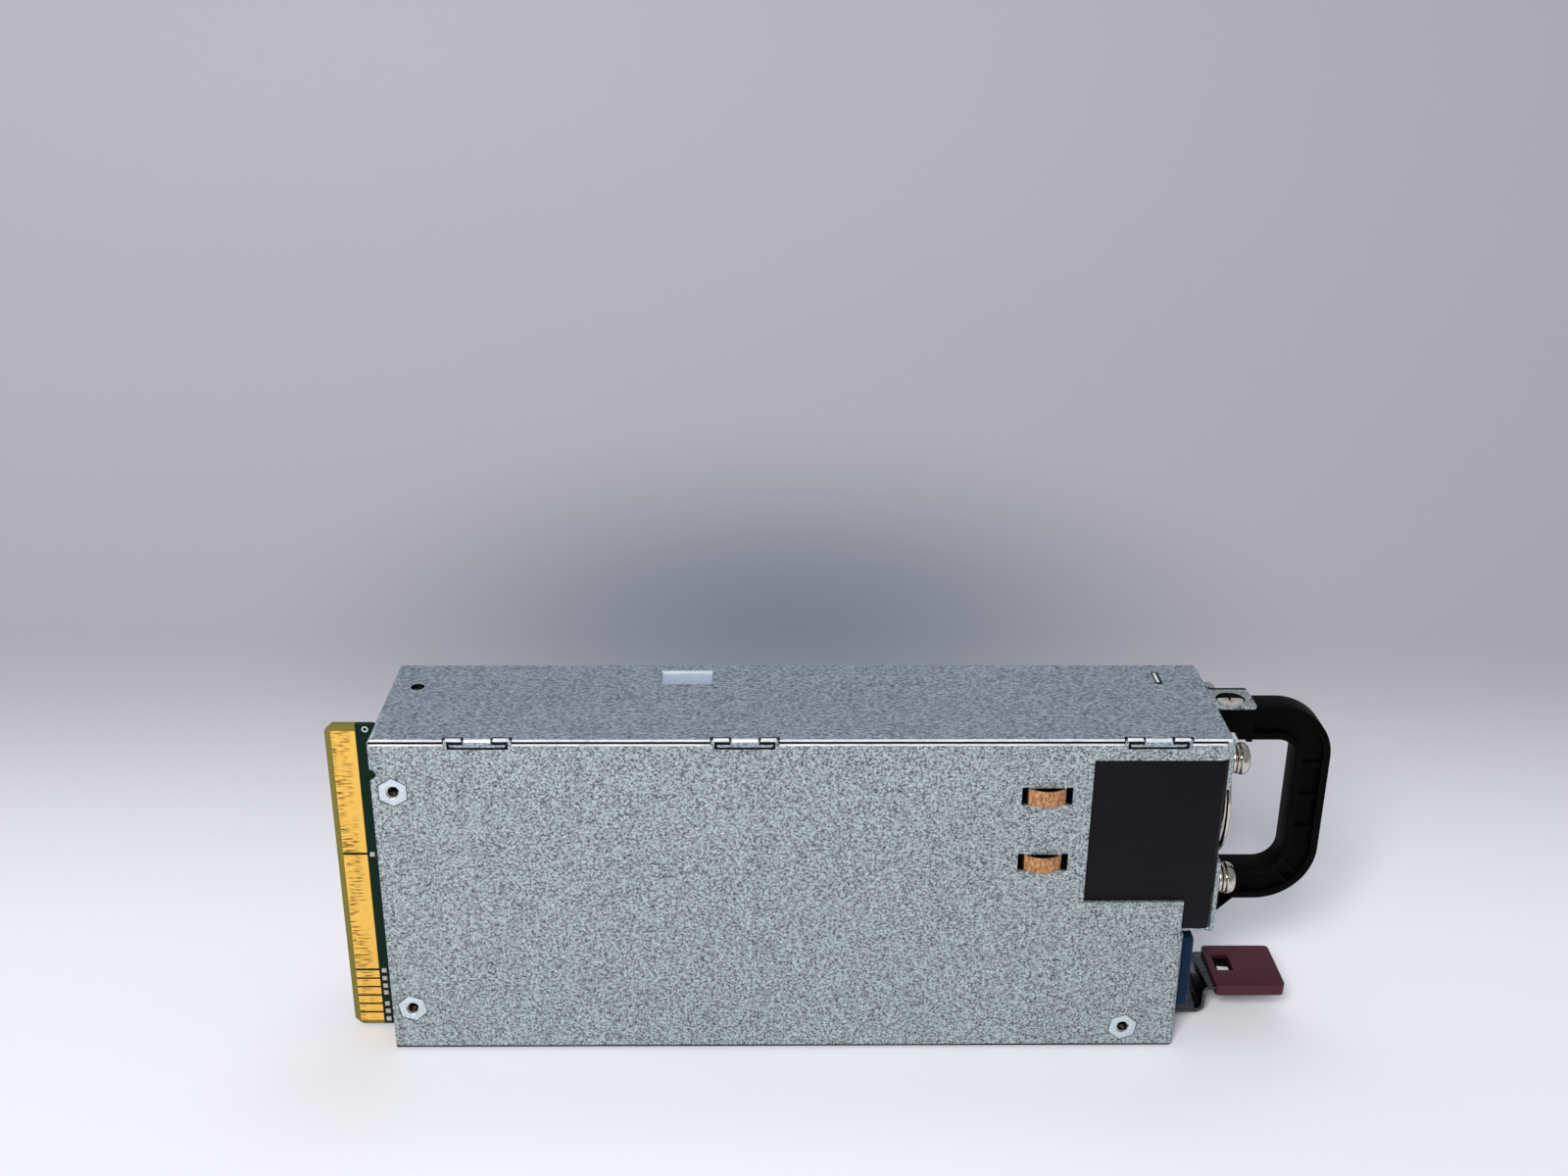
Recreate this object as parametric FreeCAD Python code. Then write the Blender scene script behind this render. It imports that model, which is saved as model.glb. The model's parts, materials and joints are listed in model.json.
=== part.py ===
import FreeCAD
import Part
import math
import os

# Hot swap server power supply. X runs along the case from the card edge (-X) to the handle (+X),
# Y across the thin side, Z up. The origin is the centre of the face that the case stands on.
# All sizes are in millimetres.

V = FreeCAD.Vector

# Case
case_length = 196.0
case_depth = 40.0
case_height = 85.0
sheet = 0.8
bend_radius = 1.1
seam = 0.25
slip = 0.1
rear_x = -case_length / 2
front_x = case_length / 2
near_y = -case_depth / 2
back_y = case_depth / 2
inner_near = near_y + sheet
inner_back = back_y - sheet
inner_top = case_height - sheet
tray_top = inner_top - seam

# Inlet end of the tray, set back from the fan end
inlet_setback = 6.0
inlet_panel_drop = 53.0
inlet_panel_height = case_height - inlet_panel_drop
panel_x = front_x - inlet_setback
lip_height = 6.5
lip_ends = 20.0

# Fan window in the near wall
window_length = 30.9
window_drop = 5.5
window_height = 37.9
window_corner = 1.4
window_rear = front_x - window_length
window_top = case_height - window_drop
window_bottom = window_top - window_height

# Cover seam: tee tabs that lock the cover's edge into the tray wall
tab_rear_inset = 24.8
tab_middle_inset = 85.3
tab_front_inset = 16.7
tee_neck = 6.0
tee_width = 12.8
tee_height = 1.2
tee_gap = 0.35
notch_half = 7.9
notch_depth = 1.05
tab_xs = [rear_x + tab_rear_inset, rear_x + tab_middle_inset, front_x - tab_front_inset]

# Cover's top and rear features
hole_inset = 6.6
hole_y = 7.1
hole_diameter = 3.3
catch_inset = 70.8
catch_x = rear_x + catch_inset
catch_length = 12.6
catch_width = 7.5
catch_back_inset = 3.1
slit_inset = 10.7
slit_width = 1.5
slit_length = 6.6
slit_y = 11.8
vent_slot = 2.4
vent_pitch = 4.2
vent_rows = 2
vent_margin = 8.0
edge_notch_radius = 1.4

# Circuit board and its gold card edge
board_gap = 8.2
board_thickness = 1.6
board_overhang = 11.8
board_floor_gap = 0.9
board_top_gap = 0.9
board_chamfer = 1.6
board_front_inset = 32.0
board_front_x = front_x - board_front_inset
board_leg_length = 21.0
board_leg_height = 8.0
board_near = inner_near + board_gap
board_back = board_near + board_thickness
board_rear_x = rear_x - board_overhang
finger_thickness = 0.12
finger_inset = 1.4
finger_length = 5.7
finger_gap = 0.3
finger_margin = 1.5
finger_split = 32.5
big_finger_gap = 0.6
small_finger_pitch = 2.5
small_finger_count = 6
small_finger_low = 1.9
seat = 0.02

# Standoffs that carry the board: (x, z) of each
standoff_flats = 6.35
screw_shank = 3.0
thread_clearance = 0.05
standoff_rear_inset = 4.8
standoff_drop = 13.6
standoff_top_z = case_height - standoff_drop
standoff_low_z = 11.9
standoff_front_inset = 18.7
standoff_front_z = 5.8
standoffs_at = [
    (rear_x + standoff_rear_inset, standoff_top_z),
    (rear_x + standoff_rear_inset, standoff_low_z),
    (front_x - standoff_front_inset, standoff_front_z),
]
standoff_turns = [0.0, 12.0, -10.0]

# Copper grounding springs in the near wall: the centre of each
spring_inset = 41.2
spring_x = front_x - spring_inset
spring_drops = [14.8, 32.4]
spring_zs = [case_height - drop for drop in spring_drops]
slot_length = 11.8
slot_height = 4.7
spring_length = 8.7
spring_height = 4.1
spring_bulge = 1.7
spring_sheet = 0.3
spring_foot = 1.6

# Fan
fan_size = 37.8
fan_depth = 28.0
fan_drop = 23.1
fan_centre_z = case_height - fan_drop
fan_bore = 17.9
fan_screw_pitch = 32.0
fan_hub_radius = 9.5
fan_shaft_radius = 1.5
fan_blades = 7
fan_tip_gap = 0.6
blade_pitch = 41.0
blade_root = 11.0
blade_tip = 15.5
blade_thickness = 1.2
fan_rear_x = front_x - fan_depth
fan_struts = 4
fan_flange = 4.5
rotor_setback = 3.6

# Fan bracket with the handle's screw tab
bracket_sheet = 0.9
bracket_margin = 0.4
bracket_height = 52.4
bracket_bottom = case_height - bracket_height
bracket_corner = 1.1
bracket_opening = 19.0
bracket_notch_half = 9.7
bracket_flange = 13.0
lower_flange = 7.0
tab_length = 9.9
tab_near = -3.7
tab_back = 5.5
bracket_face = front_x + bracket_sheet

# Guard and its fasteners
guard_wire = 1.2
guard_rings = [15.4, 10.6, 5.8]
guard_bulge = 1.4
eyelet_radius = 3.4
washer_thickness = 0.6
fan_screw_shank = 3.8
fan_screw_head = 7.5
fan_screw_head_height = 2.8
fan_screw_length = 12.0

# Handle: a channel section, open towards the near side
handle_reach = 28.8
handle_width = 8.0
handle_grip = 8.4
handle_top_corner = 13.3
handle_bottom_corner = 14.2
handle_height = 52.6
handle_bottom = case_height - handle_height
handle_inner_bottom = handle_bottom + 8.6
handle_wall = 1.8
handle_web = 2.4
handle_rib = 1.6
handle_block_back = 6.4
handle_foot_drop = 3.8
handle_foot_bottom = handle_bottom - handle_foot_drop
handle_hook = 5.4
rib_drop = 15.8
rib_pitch = 8.8
rib_zs = [case_height - rib_drop - i * rib_pitch for i in range(3)]
handle_screw_x = 4.55
handle_screw_y = 0.4
handle_screw_head = 6.2
handle_screw_sunk = 0.25
handle_screw_length = 6.0
handle_screw_shank = 3.0

# Mains inlet (three pins, long side along Y)
inlet_width = 24.2
inlet_height = 16.6
inlet_chamfer = 4.4
inlet_cavity = 17.0
inlet_wall = 1.2
inlet_centre_z = 19.1
bezel_width = 33.0
bezel_height = 20.2
bezel_depth = 3.6
bezel_corner = 1.2
pin_width = 4.0
pin_thickness = 2.0
pin_pitch = 7.0
pin_offset = 2.0
pin_recess = 2.5

# Release latch: a spring leaf in a pocket under the case, with a moulded thumb cap
pocket_length = 54.0
pocket_start = panel_x - pocket_length
pocket_half = 6.8
pocket_ceiling = 5.0
leaf_start = pocket_start + 2.0
leaf_sheet = 0.8
leaf_bottom = 1.05
leaf_inner_half = 5.4
leaf_half = 7.7
leaf_leg_reach = 10.6
leaf_leg_x = panel_x + leaf_leg_reach
leaf_low_bend = 2.5
leaf_high_bend = 1.3
leaf_tab_top = 8.5
leaf_tab_length = 16.0
tooth_inset = 10.0
tooth_x = panel_x - tooth_inset
tooth_height = 0.9
tooth_length = 3.0
rivet_radius = 1.5
rivet_inset = 5.0
rivet_x = leaf_start + rivet_inset
rivet_ys = [-3.2, 3.2]
leaf_play = 0.3
cap_length = 17.3
cap_half = 8.6
cap_bottom = 6.7
cap_top = 9.7
cap_corner = 1.2
cap_window_start = 1.6
cap_window_length = 4.3
cap_window_width = 6.7
cap_window_y = 1.25

# What the board carries: places from the case's rear, front, floor and top, and sizes
can_radius = 12.5
can_length = 45.0
can_front_gap = 48.0
can_top_gap = 6.5
component_gap = 0.4
toroid_radius = 8.0
toroid_wall = 4.2
toroid_front_gap = 44.0
toroid_floor_gap = 28.0
film_block = (16.0, 15.0, 8.0)
film_front_gap = 66.0
film_floor_gap = 13.5
boost_size = (26.0, 22.0, 20.0)
boost_front_gap = 76.0
boost_floor_gap = 34.0
transformer_size = (30.0, 24.0, 24.0)
transformer_rear_gap = 80.0
transformer_floor_gap = 32.0
inductor_size = (22.0, 20.0, 16.0)
inductor_rear_gap = 46.0
upper_row_drop = 23.0
standby_size = (15.0, 15.0, 11.0)
standby_rear_gap = 74.0
sink_height = 22.0
sink_fins = 5
primary_sink_length = 42.0
primary_sink_front_gap = 78.0
primary_sink_z = 9.0
secondary_sink_length = 34.0
secondary_sink_rear_gap = 24.0
secondary_sink_z = 12.0
fuse_radius = 2.6
fuse_length = 10.0
fuse_front_gap = 35.0
fuse_z = 10.2
daughter_rear_gap = 8.0
daughter_thickness = 1.6
daughter_height = 24.0
daughter_low = 30.0
daughter_drop = 23.0
small_can_radius = 4.0
small_can_height = 20.0
small_can_pitch = 9.5
small_can_rear_gap = 18.0
small_can_columns = 2
small_can_lows = [30.0, 40.0]
upper_bar = (20.0, 3.0, 5.0)
lower_bar = (12.0, 3.0, 4.0)
bar_rear_gap = 16.0
upper_bar_drop = 7.0
lower_bar_z = 22.0
connector_size = (6.5, 6.0, 8.0)
connector_front_gap = 38.0
connector_drop = 39.0


def box(x0, x1, y0, y1, z0, z1):
    return Part.makeBox(x1 - x0, y1 - y0, z1 - z0, V(x0, y0, z0))


def rod(radius, start, end):
    run = V(*end) - V(*start)
    return Part.makeCylinder(radius, run.Length, V(*start), run)


def in_plane(plane, u, v, w):
    """A point from two coordinates in a plane and one across it."""
    return {"xz": V(u, w, v), "xy": V(u, v, w), "yz": V(w, u, v)}[plane]


def slab(plane, corners, low, high):
    """Solid between two levels. Each corner is (u, v) or (u, v, radius)."""
    edges = []
    ends = []
    count = len(corners)
    for i, corner in enumerate(corners):
        here = in_plane(plane, corner[0], corner[1], low)
        radius = corner[2] if len(corner) > 2 else 0.0
        if not radius:
            ends.append((here, here))
            continue
        before = corners[i - 1]
        after = corners[(i + 1) % count]
        back = (in_plane(plane, before[0], before[1], low) - here).normalize()
        ahead = (in_plane(plane, after[0], after[1], low) - here).normalize()
        half = back.getAngle(ahead) / 2
        reach = radius / math.tan(half)
        middle = (back + ahead).normalize() * (radius / math.sin(half) - radius)
        start = here + back * reach
        end = here + ahead * reach
        edges.append(Part.Arc(start, here + middle, end).toShape())
        ends.append((start, end))
    for i in range(count):
        start = ends[i][1]
        end = ends[(i + 1) % count][0]
        if start.distanceToPoint(end) > 1e-4:
            edges.append(Part.LineSegment(start, end).toShape())
    wire = Part.Wire(Part.sortEdges(edges)[0])
    across = in_plane(plane, 0, 0, high - low)
    return Part.Face(wire).extrude(across)


def cut(shape, tools):
    return shape.cut(Part.makeCompound(tools)) if tools else shape


def fuse(shapes):
    """One solid from touching shapes, or a group where they stay apart."""
    joined = shapes[0].multiFuse(shapes[1:]).removeSplitter() if len(shapes) > 1 else shapes[0]
    return joined


def round_edges(shape, radius, chosen):
    """Fillet the edges that the test picks, by the edge's centre and direction."""
    edges = []
    for edge in shape.Edges:
        centre = edge.CenterOfMass
        way = edge.Vertexes[-1].Point - edge.Vertexes[0].Point
        if way.Length > 1e-6 and chosen(centre, way.normalize()):
            edges.append(edge)
    return shape.makeFillet(radius, edges)


def chamfer_edges(shape, size, chosen):
    """Chamfer the edges that the test picks, by the edge's centre and direction."""
    edges = []
    for edge in shape.Edges:
        centre = edge.CenterOfMass
        way = edge.Vertexes[-1].Point - edge.Vertexes[0].Point
        if way.Length > 1e-6 and chosen(centre, way.normalize()):
            edges.append(edge)
    return shape.makeChamfer(size, edges)


def near(value, target):
    return abs(value - target) < 1e-3


nodes = {}


def node(name, shape):
    nodes[name] = shape


# Tray: near wall, bottom, and the inlet panel at the front, bent from one sheet

def tray_block(offset):
    """The tray's outer form, shrunk by the sheet for the hollow."""
    x1 = panel_x - offset
    y0 = near_y + offset
    z0 = offset
    rear = rear_x - 2 * offset
    back = back_y + 2 * offset
    top = tray_top + 2 * offset
    block = box(rear, x1, y0, back, z0, top)
    if offset:
        return block

    def bent(c, way):
        low_near = near(c.y, y0) and near(c.z, z0)
        near_front = near(c.y, y0) and near(c.x, x1)
        low_front = near(c.z, z0) and near(c.x, x1)
        return low_near or near_front or low_front

    return round_edges(block, bend_radius, bent)


def tee_slot(x):
    """Slot for the tee's head with its neck's way in from above."""
    half = tee_width / 2 + tee_gap
    neck = tee_neck / 2 + tee_gap
    top = inner_top + tee_gap / 2
    head = box(x - half, x + half, near_y - 1, inner_near + 1, inner_top - tee_height - tee_gap, top)
    return head.fuse(box(x - neck, x + neck, near_y - 1, inner_near + 1, top - 1, case_height + 1))


def tee_lugs(x):
    """Lugs of the wall that rise into the cover's notches."""
    half = notch_half - 0.3
    return box(x - half, x + half, near_y, inner_near, tray_top - 2, case_height - 0.1)


def hex_prism(flats, x, z, y0, y1, turn):
    corners = []
    for i in range(6):
        angle = math.radians(60 * i + 30 + turn)
        reach = flats / 2 / math.cos(math.pi / 6)
        corners.append((x + reach * math.cos(angle), z + reach * math.sin(angle)))
    return slab("xz", corners, y0, y1)


def spring_slot(z):
    """Slot with full-height ends, and a lower edge over the strip between them."""
    half = slot_length / 2
    low = z - slot_height / 2
    high = z + slot_height / 2
    notch = half - (slot_length - spring_length) / 2
    dip = 0.25
    corners = [
        (spring_x - half, low), (spring_x + half, low), (spring_x + half, high),
        (spring_x + notch, high), (spring_x + notch, high - dip),
        (spring_x - notch, high - dip), (spring_x - notch, high), (spring_x - half, high),
    ]
    return slab("xz", corners, near_y - 1, inner_near + 1)


def pocket_walls():
    """Pocket for the latch, pressed up out of the bottom wall and open to the front."""
    return box(pocket_start, panel_x - sheet, -pocket_half, pocket_half, 0, pocket_ceiling)


def pocket_hollow():
    hollow = box(pocket_start + sheet, panel_x + 1, -pocket_half + sheet, pocket_half - sheet,
                 -1, pocket_ceiling - sheet)
    mouth_half = leaf_half + 0.5
    mouth = box(panel_x - sheet - 0.01, panel_x + 1, -mouth_half, mouth_half,
                -1, pocket_ceiling - sheet)
    return hollow.fuse(mouth)


def tray_shell():
    shape = tray_block(0.0).cut(tray_block(sheet))
    shape = shape.cut(box(panel_x - 1, front_x + 5, near_y - 5, back_y + 5,
                          inlet_panel_height, case_height + 5))
    shape = shape.cut(box(panel_x - 2, panel_x, inner_near, back_y + 5,
                          inlet_panel_height, case_height + 5))
    shape = shape.cut(box(rear_x - 5, front_x + 5, back_y, back_y + 5, -5, case_height + 5))
    shape = shape.cut(box(rear_x - 5, rear_x, near_y - 5, back_y + 5, -5, case_height + 5))
    shape = shape.cut(box(panel_x - 1.2, panel_x + 1, inner_back - slip, back_y + 5,
                          sheet, case_height))
    strip = slab("xz", [(window_rear - 5, window_top), (front_x, window_top, window_corner),
                        (front_x, tray_top), (window_rear - 5, tray_top)], near_y, inner_near)
    lip = box(rear_x + lip_ends, panel_x - lip_ends * 2, inner_back - slip - sheet,
              inner_back - slip, sheet / 2, sheet + lip_height)
    lugs = [tee_lugs(x) for x in tab_xs]
    shape = fuse([shape, strip, lip, pocket_walls()] + lugs)
    cuts = [box(window_rear, panel_x + 2, near_y - 1, inner_near + 1, window_bottom, window_top)]
    cuts += [tee_slot(x) for x in tab_xs]
    cuts += [spring_slot(z) for z in spring_zs]
    for (x, z), turn in zip(standoffs_at, standoff_turns):
        cuts.append(hex_prism(standoff_flats, x, z, near_y - 1, inner_near + 1, turn))
    cuts.append(pocket_hollow())
    for y in rivet_ys:
        cuts.append(rod(rivet_radius, (rivet_x, y, pocket_ceiling - sheet - 1),
                        (rivet_x, y, pocket_ceiling + 1)))
    cuts.append(rod(edge_notch_radius, (rear_x, near_y - 1, standoff_top_z + 4.6),
                    (rear_x, inner_near + 1, standoff_top_z + 4.6)))
    cuts.append(inlet_hole())
    node("tray_shell", cut(shape, cuts))


# Cover: top, back and rear walls

def cover_block(offset):
    x0 = rear_x + offset
    y1 = back_y - offset
    z1 = case_height - offset
    block = box(x0, front_x + 2 * offset, near_y - 2 * offset, y1, sheet + slip - 2 * offset, z1)
    if offset:
        return block

    def bent(c, way):
        top_back = near(c.y, y1) and near(c.z, z1)
        top_rear = near(c.x, x0) and near(c.z, z1)
        return top_back or top_rear

    return round_edges(block, bend_radius, bent)


def tee_tab(x):
    """Neck bent down over the edge, with the tee's head flush in the wall's slot."""
    root = near_y + notch_depth + 0.1
    neck = slab("yz", [(root, case_height), (near_y, case_height, 1.0), (near_y, inner_top - 0.6),
                       (inner_near, inner_top - 0.6), (inner_near, inner_top, 0.2),
                       (root, inner_top)], x - tee_neck / 2, x + tee_neck / 2)
    half = tee_width / 2
    low = inner_top - tee_height
    head = slab("xz", [(x - half + 0.4, low), (x + half - 0.4, low), (x + half, low + 0.4),
                       (x + half, inner_top), (x - half, inner_top), (x - half, low + 0.4)],
                near_y, inner_near)
    return [neck, head]


def rear_vents():
    """Upright slots through the rear wall, in equal rows between its margins."""
    slots = []
    y_first = board_back + vent_margin / 2
    room = inner_back - vent_margin / 2 - y_first
    count = int(room / vent_pitch)
    row = (case_height - vent_margin * (vent_rows + 1)) / vent_rows
    for i in range(count):
        y = y_first + (i + 0.5) * room / count
        for j in range(vent_rows):
            z = vent_margin + j * (row + vent_margin)
            slots.append(box(rear_x - 1, rear_x + 2, y - vent_slot / 2, y + vent_slot / 2, z, z + row))
    return slots


def cover_shell():
    shape = cover_block(0.0).cut(cover_block(sheet))
    gap_edge = board_back + sheet
    shape = shape.cut(box(rear_x - 1, rear_x + 1.5, near_y - 5, gap_edge, -1, inner_top))
    shape = shape.cut(box(panel_x, front_x + 5, near_y - 5, back_y + 5, -5, bracket_bottom))
    cuts = [box(x - notch_half, x + notch_half, near_y - 1, near_y + notch_depth,
                inner_top - 0.5, case_height + 1) for x in tab_xs]
    cuts.append(rod(hole_diameter / 2, (rear_x + hole_inset, hole_y, inner_top - 1),
                    (rear_x + hole_inset, hole_y, case_height + 1)))
    catch_y = inner_back - catch_back_inset
    cuts.append(box(catch_x - catch_length / 2, catch_x + catch_length / 2,
                    catch_y - catch_width, catch_y, inner_top - 1, case_height + 1))
    cuts.append(slit(slit_width, inner_top - 1))
    cuts += rear_vents()
    shape = cut(shape, cuts)
    tabs = []
    for x in tab_xs:
        tabs += tee_tab(x)
    node("cover_shell", fuse([shape] + tabs))


def slit(width, low):
    """The slit in the top that the bracket's lance stands in."""
    x = front_x - slit_inset
    return box(x - width / 2, x + width / 2, slit_y - slit_length / 2, slit_y + slit_length / 2,
               low, case_height + 1)


def catch_plate():
    """Smooth plate under the top's window, folded up at its far edge."""
    y1 = inner_back - catch_back_inset
    x0 = catch_x - catch_length / 2 - 3
    x1 = catch_x + catch_length / 2 + 3
    low = inner_top - 2.6
    top = inner_top
    corners = [(y1 - catch_width - 3, top), (y1 - catch_width - 3, top - sheet),
               (y1 - catch_width - 1, top - sheet), (y1 - catch_width, low),
               (y1 + 0.4, low), (y1 + 1.2, top - sheet), (inner_back - 0.6, top - sheet),
               (inner_back - 0.6, top), (y1 + 0.6, top), (y1 - 0.1, low + sheet),
               (y1 - catch_width + 0.5, low + sheet), (y1 - catch_width - 0.5, top)]
    node("catch_plate", slab("yz", corners, x0, x1))


def fan_window_film():
    """Black film behind the fan window, from the wall to the bracket."""
    film = 0.25
    node("fan_window_film", slab("xz", [
        (window_rear - 2.6, window_bottom - 2.6), (panel_x - 1.2, window_bottom - 2.6),
        (panel_x - 1.2, bracket_bottom + bracket_sheet + 0.2),
        (front_x - 0.7, bracket_bottom + bracket_sheet + 0.2),
        (front_x - 0.7, window_top + 2.6), (window_rear - 2.6, window_top + 2.6),
    ], inner_near, inner_near + film))


# Standoffs, their screws and the grounding springs

def standoffs():
    for i, ((x, z), turn) in enumerate(zip(standoffs_at, standoff_turns)):
        bar = hex_prism(standoff_flats, x, z, near_y, board_near, turn)
        thread = rod(screw_shank / 2 + thread_clearance, (x, near_y - 1, z), (x, board_near + 1, z))
        name = ["rear_upper", "rear_lower", "front"][i]
        node("standoff_" + name, bar.cut(thread))


def board_screws():
    shapes = []
    head_height = 2.0
    head_radius = 2.8
    for x, z in standoffs_at:
        shank = rod(screw_shank / 2, (x, near_y + 3.5, z), (x, board_back, z))
        head = rod(head_radius, (x, board_back, z), (x, board_back + head_height, z))
        shapes.append(shank.fuse(head))
    node("board_screws", Part.makeCompound(shapes))


def grounding_springs():
    """Arched copper strips that bulge out through their slots, with feet behind the wall."""
    half = spring_length / 2
    low_y = inner_near + spring_sheet + slip
    crown = near_y - spring_bulge
    for name, z in zip(["upper", "lower"], spring_zs):
        def arch(x_half, base, top):
            left = V(spring_x - x_half, base, 0)
            right = V(spring_x + x_half, base, 0)
            return Part.Arc(left, V(spring_x, top, 0), right).toShape()
        outer = arch(half, low_y - spring_sheet, crown)
        inner = arch(half - spring_sheet, low_y, crown + spring_sheet)
        foot_end = half + spring_foot
        points_left = [V(spring_x - half, low_y - spring_sheet, 0),
                       V(spring_x - foot_end, low_y - spring_sheet, 0),
                       V(spring_x - foot_end, low_y, 0),
                       V(spring_x - half + spring_sheet, low_y, 0)]
        points_right = [V(2 * spring_x - p.x, p.y, 0) for p in points_left]
        wire = Part.Wire(Part.sortEdges(
            [outer, inner] + Part.makePolygon(points_left).Edges
            + Part.makePolygon(points_right).Edges)[0])
        strip = Part.Face(wire).extrude(V(0, 0, spring_height))
        strip.translate(V(0, 0, z - spring_height / 2 - 0.1))
        node("grounding_spring_" + name, strip)


# Fan bracket: the front plate, its flanges and the handle's tab

def fan_bracket():
    half = back_y - bracket_margin
    x0 = front_x
    x1 = bracket_face
    plate = slab("yz", [(-half, bracket_bottom, bracket_corner), (half, bracket_bottom, bracket_corner),
                        (half, tray_top), (-half, tray_top)], x0, x1)
    low = box(x0 - lower_flange, x0, -half + sheet + 0.3, half - sheet - 0.3,
              bracket_bottom, bracket_bottom + bracket_sheet)
    flange_half = half - sheet - 0.3
    high = box(x0 - bracket_flange, x0, -flange_half, flange_half,
               inner_top - bracket_sheet, inner_top)
    lance = box(front_x - slit_inset - 0.4, front_x - slit_inset + 0.4, slit_y - slit_length / 2 + 0.4,
                slit_y + slit_length / 2 - 0.4, inner_top - 0.1, case_height - 0.1)
    rise = box(x0, x1, tab_near, tab_back, tray_top - 0.1, inner_top + 0.1)
    tab = slab("xy", [(x0 + slip, tab_near), (x0 + tab_length, tab_near, 0.5),
                      (x0 + tab_length, tab_back, 1.3), (x0 + slip, tab_back)],
               inner_top, case_height)
    lug = box(x0 + slip, x0 + 1.6, tab_back + 1.5, tab_back + 3.2, tray_top - 0.1, case_height)
    shape = fuse([plate, low, high, lance, rise, tab, lug])
    opening = rod(bracket_opening, (x0 - 1, 0, fan_centre_z), (x1 + 1, 0, fan_centre_z))
    side = bracket_notch_half
    notch = box(x0 - 0.01, x1 + 1, -half - 1, -half + 3, fan_centre_z - side, fan_centre_z + side)
    cuts = [opening, notch]
    for y, z in fan_screws_at():
        cuts.append(rod(fan_screw_shank / 2 + 0.2, (x0 - 1, y, z), (x1 + 1, y, z)))
    cuts.append(handle_screw_form(slip, thread_clearance))
    node("fan_bracket", cut(shape, cuts))


def handle_screw_form(head_extra, shank_extra):
    """Countersunk head and shank, with the clearances asked for. The head sits just below the tab."""
    x = front_x + handle_screw_x
    y = handle_screw_y
    shank = handle_screw_shank / 2 + shank_extra
    sunk = 0.0 if head_extra else handle_screw_sunk
    radius = handle_screw_head / 2 + head_extra + (handle_screw_sunk if head_extra else 0.0)
    drop = radius - shank
    top = case_height - sunk
    cone = Part.makeCone(shank, radius, drop, V(x, y, top - drop), V(0, 0, 1))
    body = rod(shank, (x, y, case_height - handle_screw_length), (x, y, top - drop / 2))
    return cone.fuse(body)


def handle_screw():
    node("handle_screw", handle_screw_form(0.0, 0.0))


# Handle

def handle_outline(inset):
    """The D of the handle seen from the side, with its block and foot; inset leaves the web."""
    x0 = bracket_face + inset
    x1 = front_x + handle_reach - inset
    z1 = case_height - inset
    low = handle_bottom + inset
    foot = handle_foot_bottom + inset
    ramp = handle_bottom - handle_foot_bottom
    toe = front_x + 5.7
    heel = toe + ramp
    t = 0.41 * inset
    top_r = handle_top_corner - inset
    low_r = handle_bottom_corner - inset
    grip = handle_grip
    inner_x = front_x + handle_reach - grip + inset
    inner_top_z = case_height - handle_grip - 0.2 + inset
    inner_low_z = handle_inner_bottom - inset
    in_top_r = 4.7 + inset
    in_low_r = 5.6 + inset
    return [
        (x0, foot), (toe + t, foot), (heel + t, low), (x1, low, low_r), (x1, z1, top_r), (x0, z1),
        (x0, inner_top_z), (inner_x, inner_top_z, in_top_r), (inner_x, inner_low_z, in_low_r),
        (x0, inner_low_z),
    ]


def handle_ribs():
    """Cross ribs in the channel: three across the grip, a pair in the corner, one by the foot."""
    y0 = -handle_width / 2 + 0.8
    y1 = handle_width / 2 - handle_web + 0.1
    x_out = front_x + handle_reach - 0.5
    x_in = x_out - handle_grip + 1.0
    half = handle_rib / 2
    ribs = [box(x_in, x_out, y0, y1, z - half, z + half) for z in rib_zs]
    foot_x = front_x + 10.5
    ribs.append(box(foot_x - half, foot_x + half, y0, y1, handle_bottom + 0.5, handle_inner_bottom - 0.5))
    centre = V(front_x + handle_reach - handle_bottom_corner, 0, handle_bottom + handle_bottom_corner)
    for offset in (-1.6, 1.6):
        rib = box(5.8, handle_bottom_corner - 0.6, y0, y1, -0.5, 0.5)
        rib.rotate(V(0, 0, 0), V(0, 1, 0), 45)
        rib.translate(centre + V(offset * 0.707, 0, offset * 0.707))
        ribs.append(rib)
    return ribs


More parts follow.
